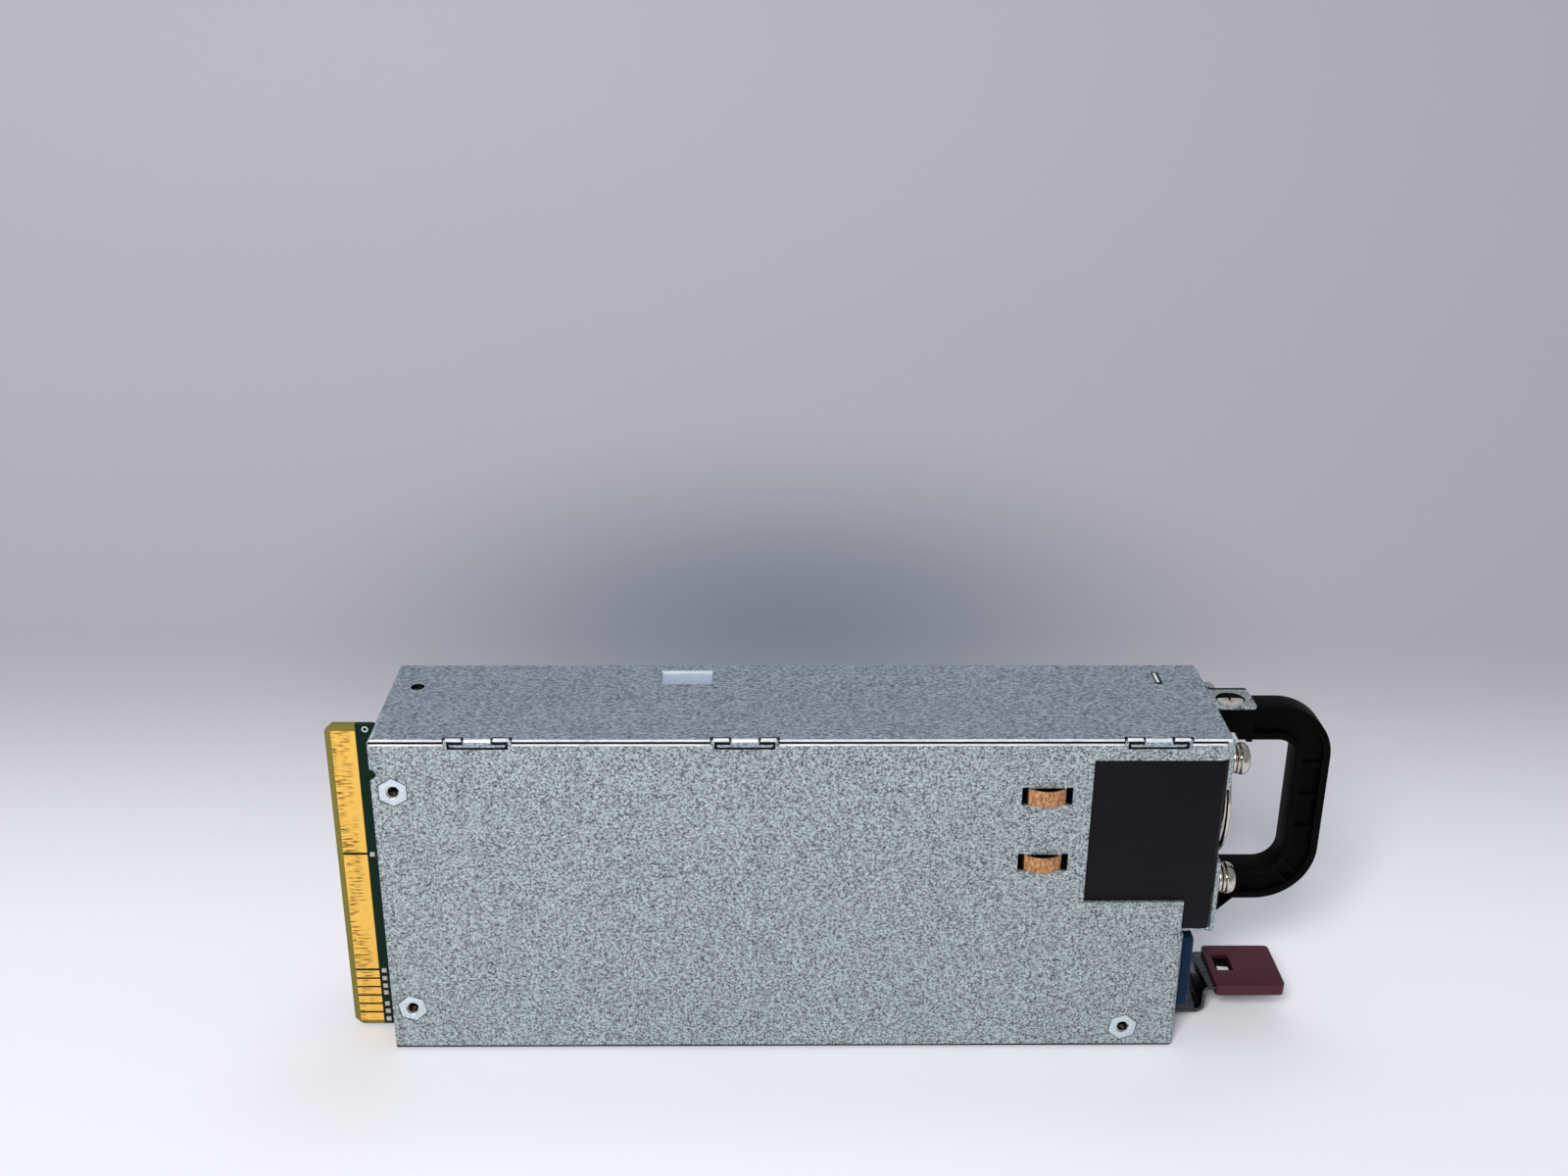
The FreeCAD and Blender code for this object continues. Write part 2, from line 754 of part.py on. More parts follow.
def handle():
    y0 = -handle_width / 2
    y1 = handle_width / 2
    shape = slab("xz", handle_outline(0.0), y0, y1)

    def far_edge(c, way):
        return near(c.y, y1) and c.x > bracket_face + 1.0

    shape = chamfer_edges(shape, 1.6, far_edge)
    x0 = bracket_face
    block_end = front_x + 9.2
    block_low = case_height - 6.7
    recess = slab("xz", handle_outline(handle_wall), y0 - 1, y1 - handle_web)
    solid_zone = box(x0 - 1, block_end, y0 - 2, y1 + 5, block_low - 3, case_height + 1)
    foot_zone = box(x0 - 1, front_x + 6.5, y0 - 2, y1 + 5, handle_foot_bottom - 1, handle_inner_bottom + 1)
    shape = shape.cut(recess.cut(solid_zone).cut(foot_zone))
    shape = shape.cut(box(x0 - 1, front_x + 6.2, y0 - 2, y1 + 5, handle_inner_bottom + 1, block_low))
    block = slab("xz", [(x0, block_low), (front_x + 6.2, block_low),
                        (front_x + 8.3, case_height - 9.2), (block_end + 0.4, case_height - 9.2),
                        (block_end + 0.4, case_height), (x0, case_height)], y0, handle_block_back)
    tongue = box(panel_x + 1.6, x0 + 0.5, y0 + 0.5, y1 - 0.5,
                 bracket_bottom - 2.2, bracket_bottom - 0.05)
    shape = fuse([shape, block, tongue] + handle_ribs())
    tab_room = box(x0 - 0.5, front_x + tab_length + slip, tab_near - 1, tab_back + slip,
                   inner_top - 0.02, case_height + 1)
    under = rod(handle_screw_shank / 2 + thread_clearance,
                (front_x + handle_screw_x, handle_screw_y, case_height - handle_screw_length - 0.5),
                (front_x + handle_screw_x, handle_screw_y, case_height))
    cone = handle_screw_form(slip, thread_clearance)
    node("handle", cut(shape, [tab_room, under, cone]))


# Fan

def fan_screws_at():
    half = fan_screw_pitch / 2
    return [(y, fan_centre_z + z) for y in (-half, half) for z in (-half, half)]


def fan_frame():
    half = fan_size / 2
    x0 = fan_rear_x
    x1 = front_x
    shape = box(x0, x1, -half, half, fan_centre_z - half, fan_centre_z + half)

    def corner(c, way):
        return abs(way.x) > 0.99

    shape = chamfer_edges(shape, 1.4, corner)
    duct = rod(fan_bore, (x0 - 1, 0, fan_centre_z), (x1 + 1, 0, fan_centre_z))
    shape = shape.cut(duct)
    reach = half * math.sqrt(2)
    waist_flat = fan_bore + 1.6
    for i in range(4):
        corner_cut = box(x0 + fan_flange, x1 - fan_flange, waist_flat, reach, -half, half)
        corner_cut.rotate(V(0, 0, 0), V(1, 0, 0), 45 + i * 90)
        corner_cut.translate(V(0, 0, fan_centre_z))
        shape = shape.cut(corner_cut)
    motor = rod(fan_hub_radius, (x0, 0, fan_centre_z), (x0 + 3.0, 0, fan_centre_z))
    collar = rod(fan_shaft_radius + 1.6, (x0 + 2.5, 0, fan_centre_z), (x0 + 20.0, 0, fan_centre_z))
    struts = []
    for i in range(fan_struts):
        strut = box(x0, x0 + 2.4, fan_hub_radius - 1, fan_bore + 0.6, -1.3, 1.3)
        strut.rotate(V(0, 0, 0), V(1, 0, 0), 45 + i * 360 / fan_struts)
        strut.translate(V(0, 0, fan_centre_z))
        struts.append(strut)
    shape = fuse([shape, motor, collar] + struts)
    cuts = [rod(fan_shaft_radius + thread_clearance, (x0 + 3.0, 0, fan_centre_z),
                (x0 + 21.0, 0, fan_centre_z))]
    for y, z in fan_screws_at():
        cuts.append(rod(fan_screw_shank / 2 + thread_clearance, (x1 - 14, y, z), (x1 + 1, y, z)))
    node("fan_frame", cut(shape, cuts))


def blade_section(height, pitch_angle, x_middle, chord, thickness):
    """Corners of a bowed blade section, in the flat plane at a height above the axis."""
    points = []
    for side, steps in ((1, (-0.5, 0.0, 0.5)), (-1, (0.5, 0.0, -0.5))):
        for s in steps:
            along = s * chord
            across = 0.08 * chord * (1 - 4 * s * s) + side * thickness / 2
            x = x_middle + along * math.sin(pitch_angle) - across * math.cos(pitch_angle)
            y = along * math.cos(pitch_angle) + across * math.sin(pitch_angle)
            points.append(V(x, y, height))
    return points


def flat_sided(low, high):
    """Solid between two outlines whose matching sides are parallel."""
    count = len(low)
    faces = [Part.Face(Part.makePolygon(ring + [ring[0]])) for ring in (low, high)]
    for i in range(count):
        j = (i + 1) % count
        faces.append(Part.Face(Part.makePolygon([low[i], low[j], high[j], high[i], low[i]])))
    return Part.makeSolid(Part.makeShell(faces))


def fan_rotor():
    x0 = fan_rear_x + rotor_setback
    x1 = front_x - rotor_setback
    hub = rod(fan_hub_radius, (x0, 0, 0), (x1, 0, 0))
    bell = rod(fan_hub_radius - 1.5, (x0 - 1, 0, 0), (x1 - 2.0, 0, 0))
    shaft = rod(fan_shaft_radius, (x0, 0, 0), (x1 - 1.0, 0, 0))
    rotor = hub.cut(bell).fuse(shaft)
    tip = fan_bore - fan_tip_gap
    middle = (x0 + x1) / 2 + 1
    pitch = math.radians(blade_pitch)
    root = blade_section(fan_hub_radius - 1.1, pitch, middle, blade_root, blade_thickness)
    end = blade_section(tip + 1.5, pitch, middle, blade_tip, blade_thickness)
    blade = flat_sided(root, end).common(rod(tip, (x0, 0, 0), (x1, 0, 0)))
    blades = []
    for i in range(fan_blades):
        copy = blade.copy()
        copy.rotate(V(0, 0, 0), V(1, 0, 0), i * 360 / fan_blades)
        blades.append(copy)
    rotor = fuse([rotor] + blades)
    rotor.translate(V(0, 0, fan_centre_z))
    node("fan_rotor", rotor)


def wire_ring(radius, wire, x, y, z, sides):
    """Ring of square wire round the X direction, in short straight sides."""
    rims = []
    for r in (radius + wire, radius - wire):
        turns = [2 * math.pi * i / sides for i in range(sides)]
        rims.append(slab("yz", [(y + r * math.cos(t), z + r * math.sin(t)) for t in turns],
                         x - wire, x + wire))
    return rims[0].cut(rims[1])


def wire_run(wire, start, end):
    """Straight square wire between two points, a little longer than the run."""
    way = (V(*end) - V(*start)).normalize()
    side = way.cross(V(1, 0, 0)).normalize() * wire
    up = way.cross(side).normalize() * wire
    first = V(*start) - way * (wire / 2)
    points = [first + side + up, first - side + up, first - side - up, first + side - up]
    run = V(*end) - V(*start) + way * wire
    return Part.Face(Part.makePolygon(points + [points[0]])).extrude(run)


def fan_guard():
    """Rings carried on four crossed wires that rise from eyelets under the screws."""
    wire = guard_wire / 2
    x_eye = bracket_face + wire
    x_hub = x_eye + guard_bulge
    eye = (fan_screw_pitch / 2 - (eyelet_radius - wire) * math.sqrt(0.5)) * math.sqrt(2)
    hub = guard_rings[-1] - 0.4
    bend = fan_screw_pitch / 2 * math.sqrt(2) - fan_screw_head / 2 - 0.7
    shapes = []
    for radius in guard_rings:
        x_wire = x_hub - guard_bulge * (radius - hub) / (bend - hub)
        shapes.append(wire_ring(radius, wire, x_wire + wire, 0, fan_centre_z, 32))
    for y, z in fan_screws_at():
        sy = math.copysign(math.sqrt(0.5), y)
        sz = math.copysign(math.sqrt(0.5), z - fan_centre_z)
        inner = (x_hub, sy * hub, fan_centre_z + sz * hub)
        knee = (x_eye, sy * bend, fan_centre_z + sz * bend)
        foot = (x_eye, sy * eye, fan_centre_z + sz * eye)
        shapes.append(wire_run(wire, inner, knee))
        shapes.append(wire_run(wire, knee, foot))
        shapes.append(wire_ring(eyelet_radius - wire, wire, x_eye, y, z, 16))
    node("fan_guard", fuse(shapes))


def fan_screws():
    """Pan head screws with captive washers, as plain discs on shanks."""
    screws = []
    x0 = bracket_face + guard_wire
    x1 = x0 + washer_thickness
    for y, z in fan_screws_at():
        shank = rod(fan_screw_shank / 2, (front_x - fan_screw_length, y, z), (x0, y, z))
        head = rod(fan_screw_head / 2, (x0, y, z), (x1 + fan_screw_head_height, y, z))
        screws.append(shank.fuse(head))
    node("fan_screws", Part.makeCompound(screws))


# Mains inlet

def inlet_opening(grow):
    """Outline of the inlet's cavity: a rectangle with two corners cut off."""
    w = inlet_width / 2 + grow
    h = inlet_height / 2 + grow
    c = inlet_chamfer
    z = inlet_centre_z
    return [(-w, z - h), (w, z - h), (w, z + h - c), (w - c, z + h), (-w + c, z + h), (-w, z + h - c)]


def inlet_hole():
    """Opening in the tray's front panel that the inlet's body passes through."""
    return slab("yz", inlet_opening(inlet_wall + 0.2), panel_x - 2, panel_x + 1)


def inlet():
    x1 = panel_x + bezel_depth
    back = x1 - inlet_cavity - 2.5
    body = slab("yz", inlet_opening(inlet_wall), back, x1 - bezel_depth * 0.4)
    body = body.cut(slab("yz", inlet_opening(0.0), x1 - inlet_cavity, x1 + 1))
    for y, z in pins_at():
        body = body.cut(box(back - 1, x1, y - pin_thickness / 2, y + pin_thickness / 2,
                            z - pin_width / 2, z + pin_width / 2))
    node("inlet_body", body)
    half = bezel_width / 2
    z = inlet_centre_z
    high = bezel_height / 2
    r = bezel_corner
    bezel = slab("yz", [(-half, z - high, r), (half, z - high, r), (half, z + high, r),
                        (-half, z + high, r)], panel_x, x1)

    def front_rim(c, way):
        return near(c.x, x1)

    bezel = chamfer_edges(bezel, 0.6, front_rim)
    bezel = bezel.cut(slab("yz", inlet_opening(inlet_wall + 0.02), panel_x - 1, x1 - bezel_depth * 0.4))
    bezel = bezel.cut(slab("yz", inlet_opening(0.0), panel_x - 1, x1 + 1))
    node("inlet_bezel", bezel)
    pins = []
    for y, z in pins_at():
        pin = box(back - 3.5, x1 - pin_recess, y - pin_thickness / 2, y + pin_thickness / 2,
                  z - pin_width / 2, z + pin_width / 2)

        def tip(c, way):
            return near(c.x, x1 - pin_recess)

        pins.append(chamfer_edges(pin, 0.5, tip))
    node("inlet_pins", Part.makeCompound(pins))


def pins_at():
    z = inlet_centre_z
    return [(-pin_pitch, z - pin_offset), (0.0, z + pin_offset), (pin_pitch, z - pin_offset)]


# Release latch

def latch():
    top = leaf_bottom + leaf_sheet
    leg_in = leaf_leg_x - leaf_sheet
    tab_end = leaf_leg_x + leaf_tab_length
    tab_low = leaf_tab_top - leaf_sheet
    thin = leaf_sheet
    profile = [
        (leaf_start, leaf_bottom), (leaf_leg_x, leaf_bottom, leaf_low_bend),
        (leaf_leg_x, tab_low, leaf_high_bend - thin + 0.3), (tab_end, tab_low),
        (tab_end, leaf_tab_top), (leg_in, leaf_tab_top, leaf_high_bend + 0.3),
        (leg_in, top, leaf_low_bend - thin), (leaf_start, top),
    ]
    ribbon = slab("xz", profile, -leaf_half, leaf_half)
    step = panel_x + 1.0
    for sign in (-1, 1):
        y0 = leaf_inner_half if sign > 0 else -leaf_half - 1
        y1 = leaf_half + 1 if sign > 0 else -leaf_inner_half
        ribbon = ribbon.cut(box(leaf_start - 1, step, y0, y1, -1, pocket_ceiling))
    tooth = slab("xz", [(tooth_x - tooth_length, leaf_bottom), (tooth_x, leaf_bottom - tooth_height),
                        (tooth_x + 0.6, leaf_bottom - tooth_height), (tooth_x + 0.6, leaf_bottom)],
                 -3.0, 3.0)
    post = []
    for y in rivet_ys:
        post.append(rod(rivet_radius + leaf_play, (rivet_x, y, -1), (rivet_x, y, leaf_bottom + 3)))
    node("latch_leaf", cut(fuse([ribbon, tooth]), post))
    x0 = leaf_leg_x + leaf_high_bend + 0.9
    x1 = x0 + cap_length
    r = cap_corner
    cap = slab("xy", [(x0, -cap_half, r), (x1, -cap_half, r), (x1, cap_half, r), (x0, cap_half, r)],
               cap_bottom, cap_top)

    window_x = x0 + cap_window_start
    window = box(window_x, window_x + cap_window_length, cap_window_y - cap_window_width / 2,
                 cap_window_y + cap_window_width / 2, cap_bottom - 1, cap_top + 1)
    slot = box(x0 - 1, tab_end + 0.02, -leaf_half - 0.02, leaf_half + 0.02, tab_low, leaf_tab_top)
    node("latch_cap", cap.cut(window).cut(slot))
    rivets = []
    foot_top = leaf_bottom - leaf_play
    foot_low = foot_top - 0.6
    wide = rivet_radius + 0.8
    for y in rivet_ys:
        shank = rod(rivet_radius, (rivet_x, y, foot_top), (rivet_x, y, pocket_ceiling))
        foot = rod(wide, (rivet_x, y, foot_low), (rivet_x, y, foot_top))
        rivets.append(fuse([shank, foot]))
    node("latch_rivets", Part.makeCompound(rivets))


# Board and what it carries

def main_board():
    z0 = board_floor_gap
    z1 = case_height - board_top_gap
    c = board_chamfer
    leg_top = board_floor_gap + board_leg_height
    front = board_front_x + board_leg_length
    corners = [
        (board_rear_x + c, z0), (front, z0), (front, leg_top), (board_front_x, leg_top),
        (board_front_x, inner_top - 0.4), (rear_x - 0.3, inner_top - 0.4), (rear_x - 0.6, z1),
        (board_rear_x + c, z1), (board_rear_x, z1 - c), (board_rear_x, z0 + c),
    ]
    board = slab("xz", corners, board_near, board_back)
    holes = [rod(screw_shank / 2 + thread_clearance, (x, board_near - 1, z), (x, board_back + 1, z))
             for x, z in standoffs_at]
    node("main_board", cut(board, holes))


def fingers():
    x0 = board_rear_x + finger_inset
    x1 = x0 + finger_length
    top = case_height - board_top_gap - finger_margin
    middle = top - finger_split
    small_top = small_finger_low + small_finger_count * small_finger_pitch - finger_gap
    spans = [(middle, top), (small_top + finger_gap, middle - big_finger_gap)]
    small = []
    for i in range(small_finger_count):
        low = small_finger_low + i * small_finger_pitch
        small.append((low, low + small_finger_pitch - finger_gap))
    for name, group in (("power_fingers", spans), ("signal_fingers", small)):
        pads = []
        for low, high in group:
            for y0 in (board_near - finger_thickness, board_back):
                pads.append(box(x0, x1, y0, y0 + finger_thickness, low, high))
        node(name, Part.makeCompound(pads))


def insulating_sheet():
    x0 = rear_x + standoff_rear_inset + standoff_flats
    x1 = spring_x - 12
    shape = box(x0, x1, inner_near, inner_near + 0.25, sheet + 0.6, inner_top - 3.0)
    node("insulating_sheet", shape)


def on_board(x, z, size):
    """Block that stands on the board: its size along X, off the board, and along Z."""
    return box(x - size[0] / 2, x + size[0] / 2, board_back + seat, board_back + seat + size[1],
               z - size[2] / 2, z + size[2] / 2)


def wound_core(x, z, size, flange):
    """Ferrite frame round a winding that stands out of both its ends."""
    core = on_board(x, z, size)
    inner = (size[0] - 2 * flange, size[1] - 2 * flange, size[2] + 1)
    hollow = on_board(x, z, inner)
    hollow.translate(V(0, flange, 0))
    winding = on_board(x, z, (inner[0], inner[1], size[2] + 3))
    winding.translate(V(0, flange, 0))
    return core.cut(hollow).fuse(winding)


def heatsink(x0, x1, z):
    y0 = board_back + seat
    web = box(x0, x1, y0, y0 + sink_height, z - 1.0, z + 1.0)
    pitch = (sink_height - 3) / sink_fins
    blades = [box(x0, x1, y0 + 3 + i * pitch, y0 + 3.9 + i * pitch, z - 4.0, z + 4.0)
              for i in range(sink_fins)]
    return fuse([web] + blades)


def primary_side():
    """Parts between the mains inlet and the transformer, placed from the case's front."""
    can_x = front_x - can_front_gap
    can_y = board_back + can_radius + component_gap
    can_z = case_height - can_top_gap - can_radius
    node("bulk_capacitor", rod(can_radius, (can_x - can_length, can_y, can_z), (can_x, can_y, can_z)))
    ring_x = front_x - toroid_front_gap
    ring_y = board_back + component_gap + 7.6 + toroid_wall
    section = slab("yz", [(ring_y - toroid_wall, toroid_radius - toroid_wall),
                          (ring_y + toroid_wall, toroid_radius - toroid_wall),
                          (ring_y + toroid_wall, toroid_radius + toroid_wall),
                          (ring_y - toroid_wall, toroid_radius + toroid_wall)], 0, 0.01).Faces
    flat = max(section, key=lambda face: face.Area)
    choke = flat.revolve(V(0, 0, 0), V(0, 1, 0), 360)
    choke.translate(V(ring_x, 0, toroid_floor_gap))
    post = box(ring_x - 5, ring_x + 5, board_back + seat, ring_y - toroid_wall + 0.5,
               toroid_floor_gap - toroid_radius - 1, toroid_floor_gap - toroid_radius + 1)
    node("filter_choke", choke.fuse(post))
    node("filter_capacitor", on_board(front_x - film_front_gap, film_floor_gap, film_block))
    node("boost_choke", wound_core(front_x - boost_front_gap, boost_floor_gap, boost_size, 4))
    sink_x = front_x - primary_sink_front_gap
    node("primary_heatsink", heatsink(sink_x - primary_sink_length, sink_x, primary_sink_z))
    fuse_x = front_x - fuse_front_gap
    fuse_y = board_back + fuse_radius + seat
    node("fuse", rod(fuse_radius, (fuse_x - fuse_length, fuse_y, fuse_z), (fuse_x, fuse_y, fuse_z)))
    node("fan_connector", on_board(front_x - connector_front_gap, case_height - connector_drop,
                                   connector_size))


def secondary_side():
    """Parts between the transformer and the card edge, placed from the case's rear."""
    upper_z = case_height - upper_row_drop
    node("main_transformer", wound_core(rear_x + transformer_rear_gap, transformer_floor_gap,
                                        transformer_size, 5))
    node("output_inductor", wound_core(rear_x + inductor_rear_gap, upper_z, inductor_size, 4))
    node("standby_transformer", wound_core(rear_x + standby_rear_gap, upper_z, standby_size, 3))
    sink_x = rear_x + secondary_sink_rear_gap
    node("secondary_heatsink", heatsink(sink_x, sink_x + secondary_sink_length, secondary_sink_z))
    daughter_x = rear_x + daughter_rear_gap
    node("control_board", box(daughter_x, daughter_x + daughter_thickness, board_back + seat,
                              board_back + daughter_height, daughter_low, case_height - daughter_drop))
    cans = []
    for i in range(small_can_columns):
        x = rear_x + small_can_rear_gap + i * small_can_pitch
        for z in small_can_lows:
            y = board_back + seat
            cans.append(rod(small_can_radius, (x, y, z), (x, y + small_can_height, z)))
    node("output_capacitors", Part.makeCompound(cans))
    bar_x = rear_x + bar_rear_gap
    node("output_busbars", Part.makeCompound([
        on_board(bar_x, case_height - upper_bar_drop, upper_bar), on_board(bar_x, lower_bar_z, lower_bar)]))


def main():
    os.makedirs("parts", exist_ok=True)
    for build in (tray_shell, cover_shell, catch_plate, fan_window_film, standoffs,
                  board_screws, grounding_springs, fan_bracket, handle, handle_screw, fan_frame,
                  fan_rotor, fan_guard, fan_screws, inlet, latch, main_board, fingers,
                  insulating_sheet, primary_side, secondary_side):
        build()
    for name, shape in nodes.items():
        shape.exportStep(os.path.join("parts", name + ".step"))
        print(name, len(shape.Solids), round(shape.Volume, 1), shape.isValid())


main()
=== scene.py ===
import bpy
import json
import math
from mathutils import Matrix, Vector


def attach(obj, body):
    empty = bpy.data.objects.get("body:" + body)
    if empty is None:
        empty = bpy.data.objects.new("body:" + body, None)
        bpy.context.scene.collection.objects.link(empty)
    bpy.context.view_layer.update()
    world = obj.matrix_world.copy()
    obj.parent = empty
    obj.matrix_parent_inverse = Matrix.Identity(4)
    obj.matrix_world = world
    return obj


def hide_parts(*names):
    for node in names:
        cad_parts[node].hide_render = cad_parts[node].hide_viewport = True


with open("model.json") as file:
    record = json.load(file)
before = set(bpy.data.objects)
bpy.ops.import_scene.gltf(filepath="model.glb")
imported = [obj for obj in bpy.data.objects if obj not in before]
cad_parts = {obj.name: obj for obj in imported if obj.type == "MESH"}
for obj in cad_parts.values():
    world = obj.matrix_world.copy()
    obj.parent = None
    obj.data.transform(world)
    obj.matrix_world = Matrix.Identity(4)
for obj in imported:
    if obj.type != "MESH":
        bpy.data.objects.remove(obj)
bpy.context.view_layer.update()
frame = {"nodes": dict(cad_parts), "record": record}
nodes = frame["nodes"]
scene = bpy.context.scene
mm = 0.001
# Points closer than weld are one. A face looks along an axis when the cosine passes facing. The outer
# face of the near wall lies at Y = wallFace in mm.
weld = 0.001 * mm
facing = 0.9
wallFace = -20.0

# Studio: a pale floor that curves up into a wall, one big soft lamp in front and a weak one above and
# behind. Lengths in metres, ramp limits on Y plus Z.
studio = {
    "lens": 39.457, "sensor": 36.0, "clipStart": 0.01,
    "cameraPlace": (-9.099 * mm, -364.862 * mm, 266.845 * mm),
    "cameraTurn": (67.2386, -0.3181, -0.7025),
    "floorFront": -1.6, "floorBack": 0.050, "sweepRadius": 0.30, "sweepSteps": 24,
    "wallTop": 1.3, "halfWidth": 2.2,
    "floorColour": "#f6f5f8", "wallColour": "#a9a6ab", "rampLow": 0.02, "rampHigh": 0.2,
    # A painted shadow on the sweep behind the part: its colour, reach, strength, centre and squeeze.
    "paintedShadowColour": "#5f6a7a", "paintedShadowReach": 0.108, "paintedShadowDepth": 0.8,
    "paintedShadowPlace": (0.0, 0.172, 0.03), "paintedShadowStretch": (0.55, 1.0, 1.4), "paintRough": 0.6,
    "worldColour": "#ccd3dd", "worldStrength": 0.5,
    "keyPlace": (-0.42, -1.18, 1.08), "keySize": 0.5, "keyPower": 21.8,
    "fillPlace": (0.12, 0.30, 0.85), "fillSize": 0.3, "fillPower": 1.1,
}


def linear(hexText):
    values = []
    for i in (1, 3, 5):
        c = int(hexText[i:i + 2], 16) / 255
        values.append(c / 12.92 if c <= 0.04045 else ((c + 0.055) / 1.055) ** 2.4)
    return (*values, 1.0)


def addNode(material, kind, settings=None, links=None):
    # One node: settings are properties or input values, links are input name to output socket.
    node = material.node_tree.nodes.new(kind)
    for key, value in (settings or {}).items():
        if isinstance(key, str) and hasattr(node, key):
            setattr(node, key, value)
        else:
            node.inputs[key].default_value = value
    for key, socket in (links or {}).items():
        material.node_tree.links.new(socket, node.inputs[key])
    return node


def startMaterial(name):
    material = bpy.data.materials.new(name)
    material.use_nodes = True
    material.node_tree.nodes.clear()
    return material


def finishMaterial(material, shader):
    addNode(material, "ShaderNodeOutputMaterial", {}, {"Surface": shader.outputs[0]})
    return material


def speckledFinish(name, look):
    # A surface whose colour, roughness and height wander at a stated grain, with broad clouding over it.
    m = startMaterial(name)
    metres = addNode(m, "ShaderNodeTexCoord")
    place = addNode(m, "ShaderNodeMapping", {"Scale": look["stretch"]},
                    {"Vector": metres.outputs["Object"]})
    grain = addNode(m, "ShaderNodeTexNoise",
                    {"Scale": 1 / (look["grain"] * mm), "Detail": look["detail"],
                     "Roughness": look["grit"]}, {"Vector": place.outputs[0]})
    cloud = addNode(m, "ShaderNodeTexNoise",
                    {"Scale": 1 / (look["cloud"] * mm), "Detail": look["cloudDetail"]},
                    {"Vector": place.outputs[0]})
    spread = addNode(m, "ShaderNodeMapRange", {"From Min": look["low"], "From Max": look["high"]},
                     {"Value": grain.outputs["Fac"]})
    blend = addNode(m, "ShaderNodeMix",
                    {"data_type": "RGBA", 6: linear(look["dark"]), 7: linear(look["light"])},
                    {0: spread.outputs[0]})
    shade = addNode(m, "ShaderNodeMapRange",
                    {"To Min": 1 - look["clouding"], "To Max": 1 + look["clouding"]},
                    {"Value": cloud.outputs["Fac"]})
    tint = addNode(m, "ShaderNodeMix", {"data_type": "RGBA", "blend_type": "MULTIPLY", 0: 1.0},
                   {6: blend.outputs[2], 7: shade.outputs[0]})
    rough = addNode(m, "ShaderNodeMapRange", {"To Min": look["smooth"], "To Max": look["rough"]},
                    {"Value": spread.outputs[0]})
    bump = addNode(m, "ShaderNodeBump", {"Strength": look["bump"], "Distance": look["relief"] * mm},
                   {"Height": grain.outputs["Fac"]})
    shader = addNode(m, "ShaderNodeBsdfPrincipled",
                     {"Metallic": look["metallic"], "Specular IOR Level": look["gloss"]},
                     {"Base Color": tint.outputs[2], "Roughness": rough.outputs[0],
                      "Normal": bump.outputs[0]})
    return finishMaterial(m, shader)


def cardFinish(name, look, border):
    # Solder mask whose edge is left bare: outside the stated lines (mm) the olive laminate shows.
    m = startMaterial(name)
    place = addNode(m, "ShaderNodeTexCoord")
    axes = addNode(m, "ShaderNodeSeparateXYZ", {}, {"Vector": place.outputs["Object"]})
    past = {}
    for line, operation, axis in (("low", "LESS_THAN", "Z"), ("high", "GREATER_THAN", "Z"),
                                  ("inner", "LESS_THAN", "X"), ("outer", "LESS_THAN", "X")):
        past[line] = addNode(m, "ShaderNodeMath", {"operation": operation, 1: border[line] * mm},
                             {0: axes.outputs[axis]})
    ends = addNode(m, "ShaderNodeMath", {"operation": "MAXIMUM"},
                   {0: past["low"].outputs[0], 1: past["high"].outputs[0]})
    corners = addNode(m, "ShaderNodeMath", {"operation": "MULTIPLY"},
                      {0: ends.outputs[0], 1: past["inner"].outputs[0]})
    bare = addNode(m, "ShaderNodeMath", {"operation": "MAXIMUM"},
                   {0: corners.outputs[0], 1: past["outer"].outputs[0]})
    fibre = addNode(m, "ShaderNodeTexNoise", {"Scale": 1 / (look["fibre"] * mm), "Detail": 4.0},
                    {"Vector": place.outputs["Object"]})
    mask = addNode(m, "ShaderNodeMix",
                   {"data_type": "RGBA", 6: linear(look["mask"]), 7: linear(look["track"])},
                   {0: fibre.outputs["Fac"]})
    glass = addNode(m, "ShaderNodeMix",
                    {"data_type": "RGBA", 6: linear(look["glassDark"]), 7: linear(look["glassLight"])},
                    {0: fibre.outputs["Fac"]})
    colour = addNode(m, "ShaderNodeMix", {"data_type": "RGBA"},
                     {0: bare.outputs[0], 6: mask.outputs[2], 7: glass.outputs[2]})
    rough = addNode(m, "ShaderNodeMapRange", {"To Min": look["smooth"], "To Max": look["rough"]},
                    {"Value": bare.outputs[0]})
    bump = addNode(m, "ShaderNodeBump", {"Strength": look["bump"], "Distance": look["relief"] * mm},
                   {"Height": fibre.outputs["Fac"]})
    shader = addNode(m, "ShaderNodeBsdfPrincipled", {"Specular IOR Level": look["gloss"]},
                     {"Base Color": colour.outputs[2], "Roughness": rough.outputs[0],
                      "Normal": bump.outputs[0]})
    return finishMaterial(m, shader)


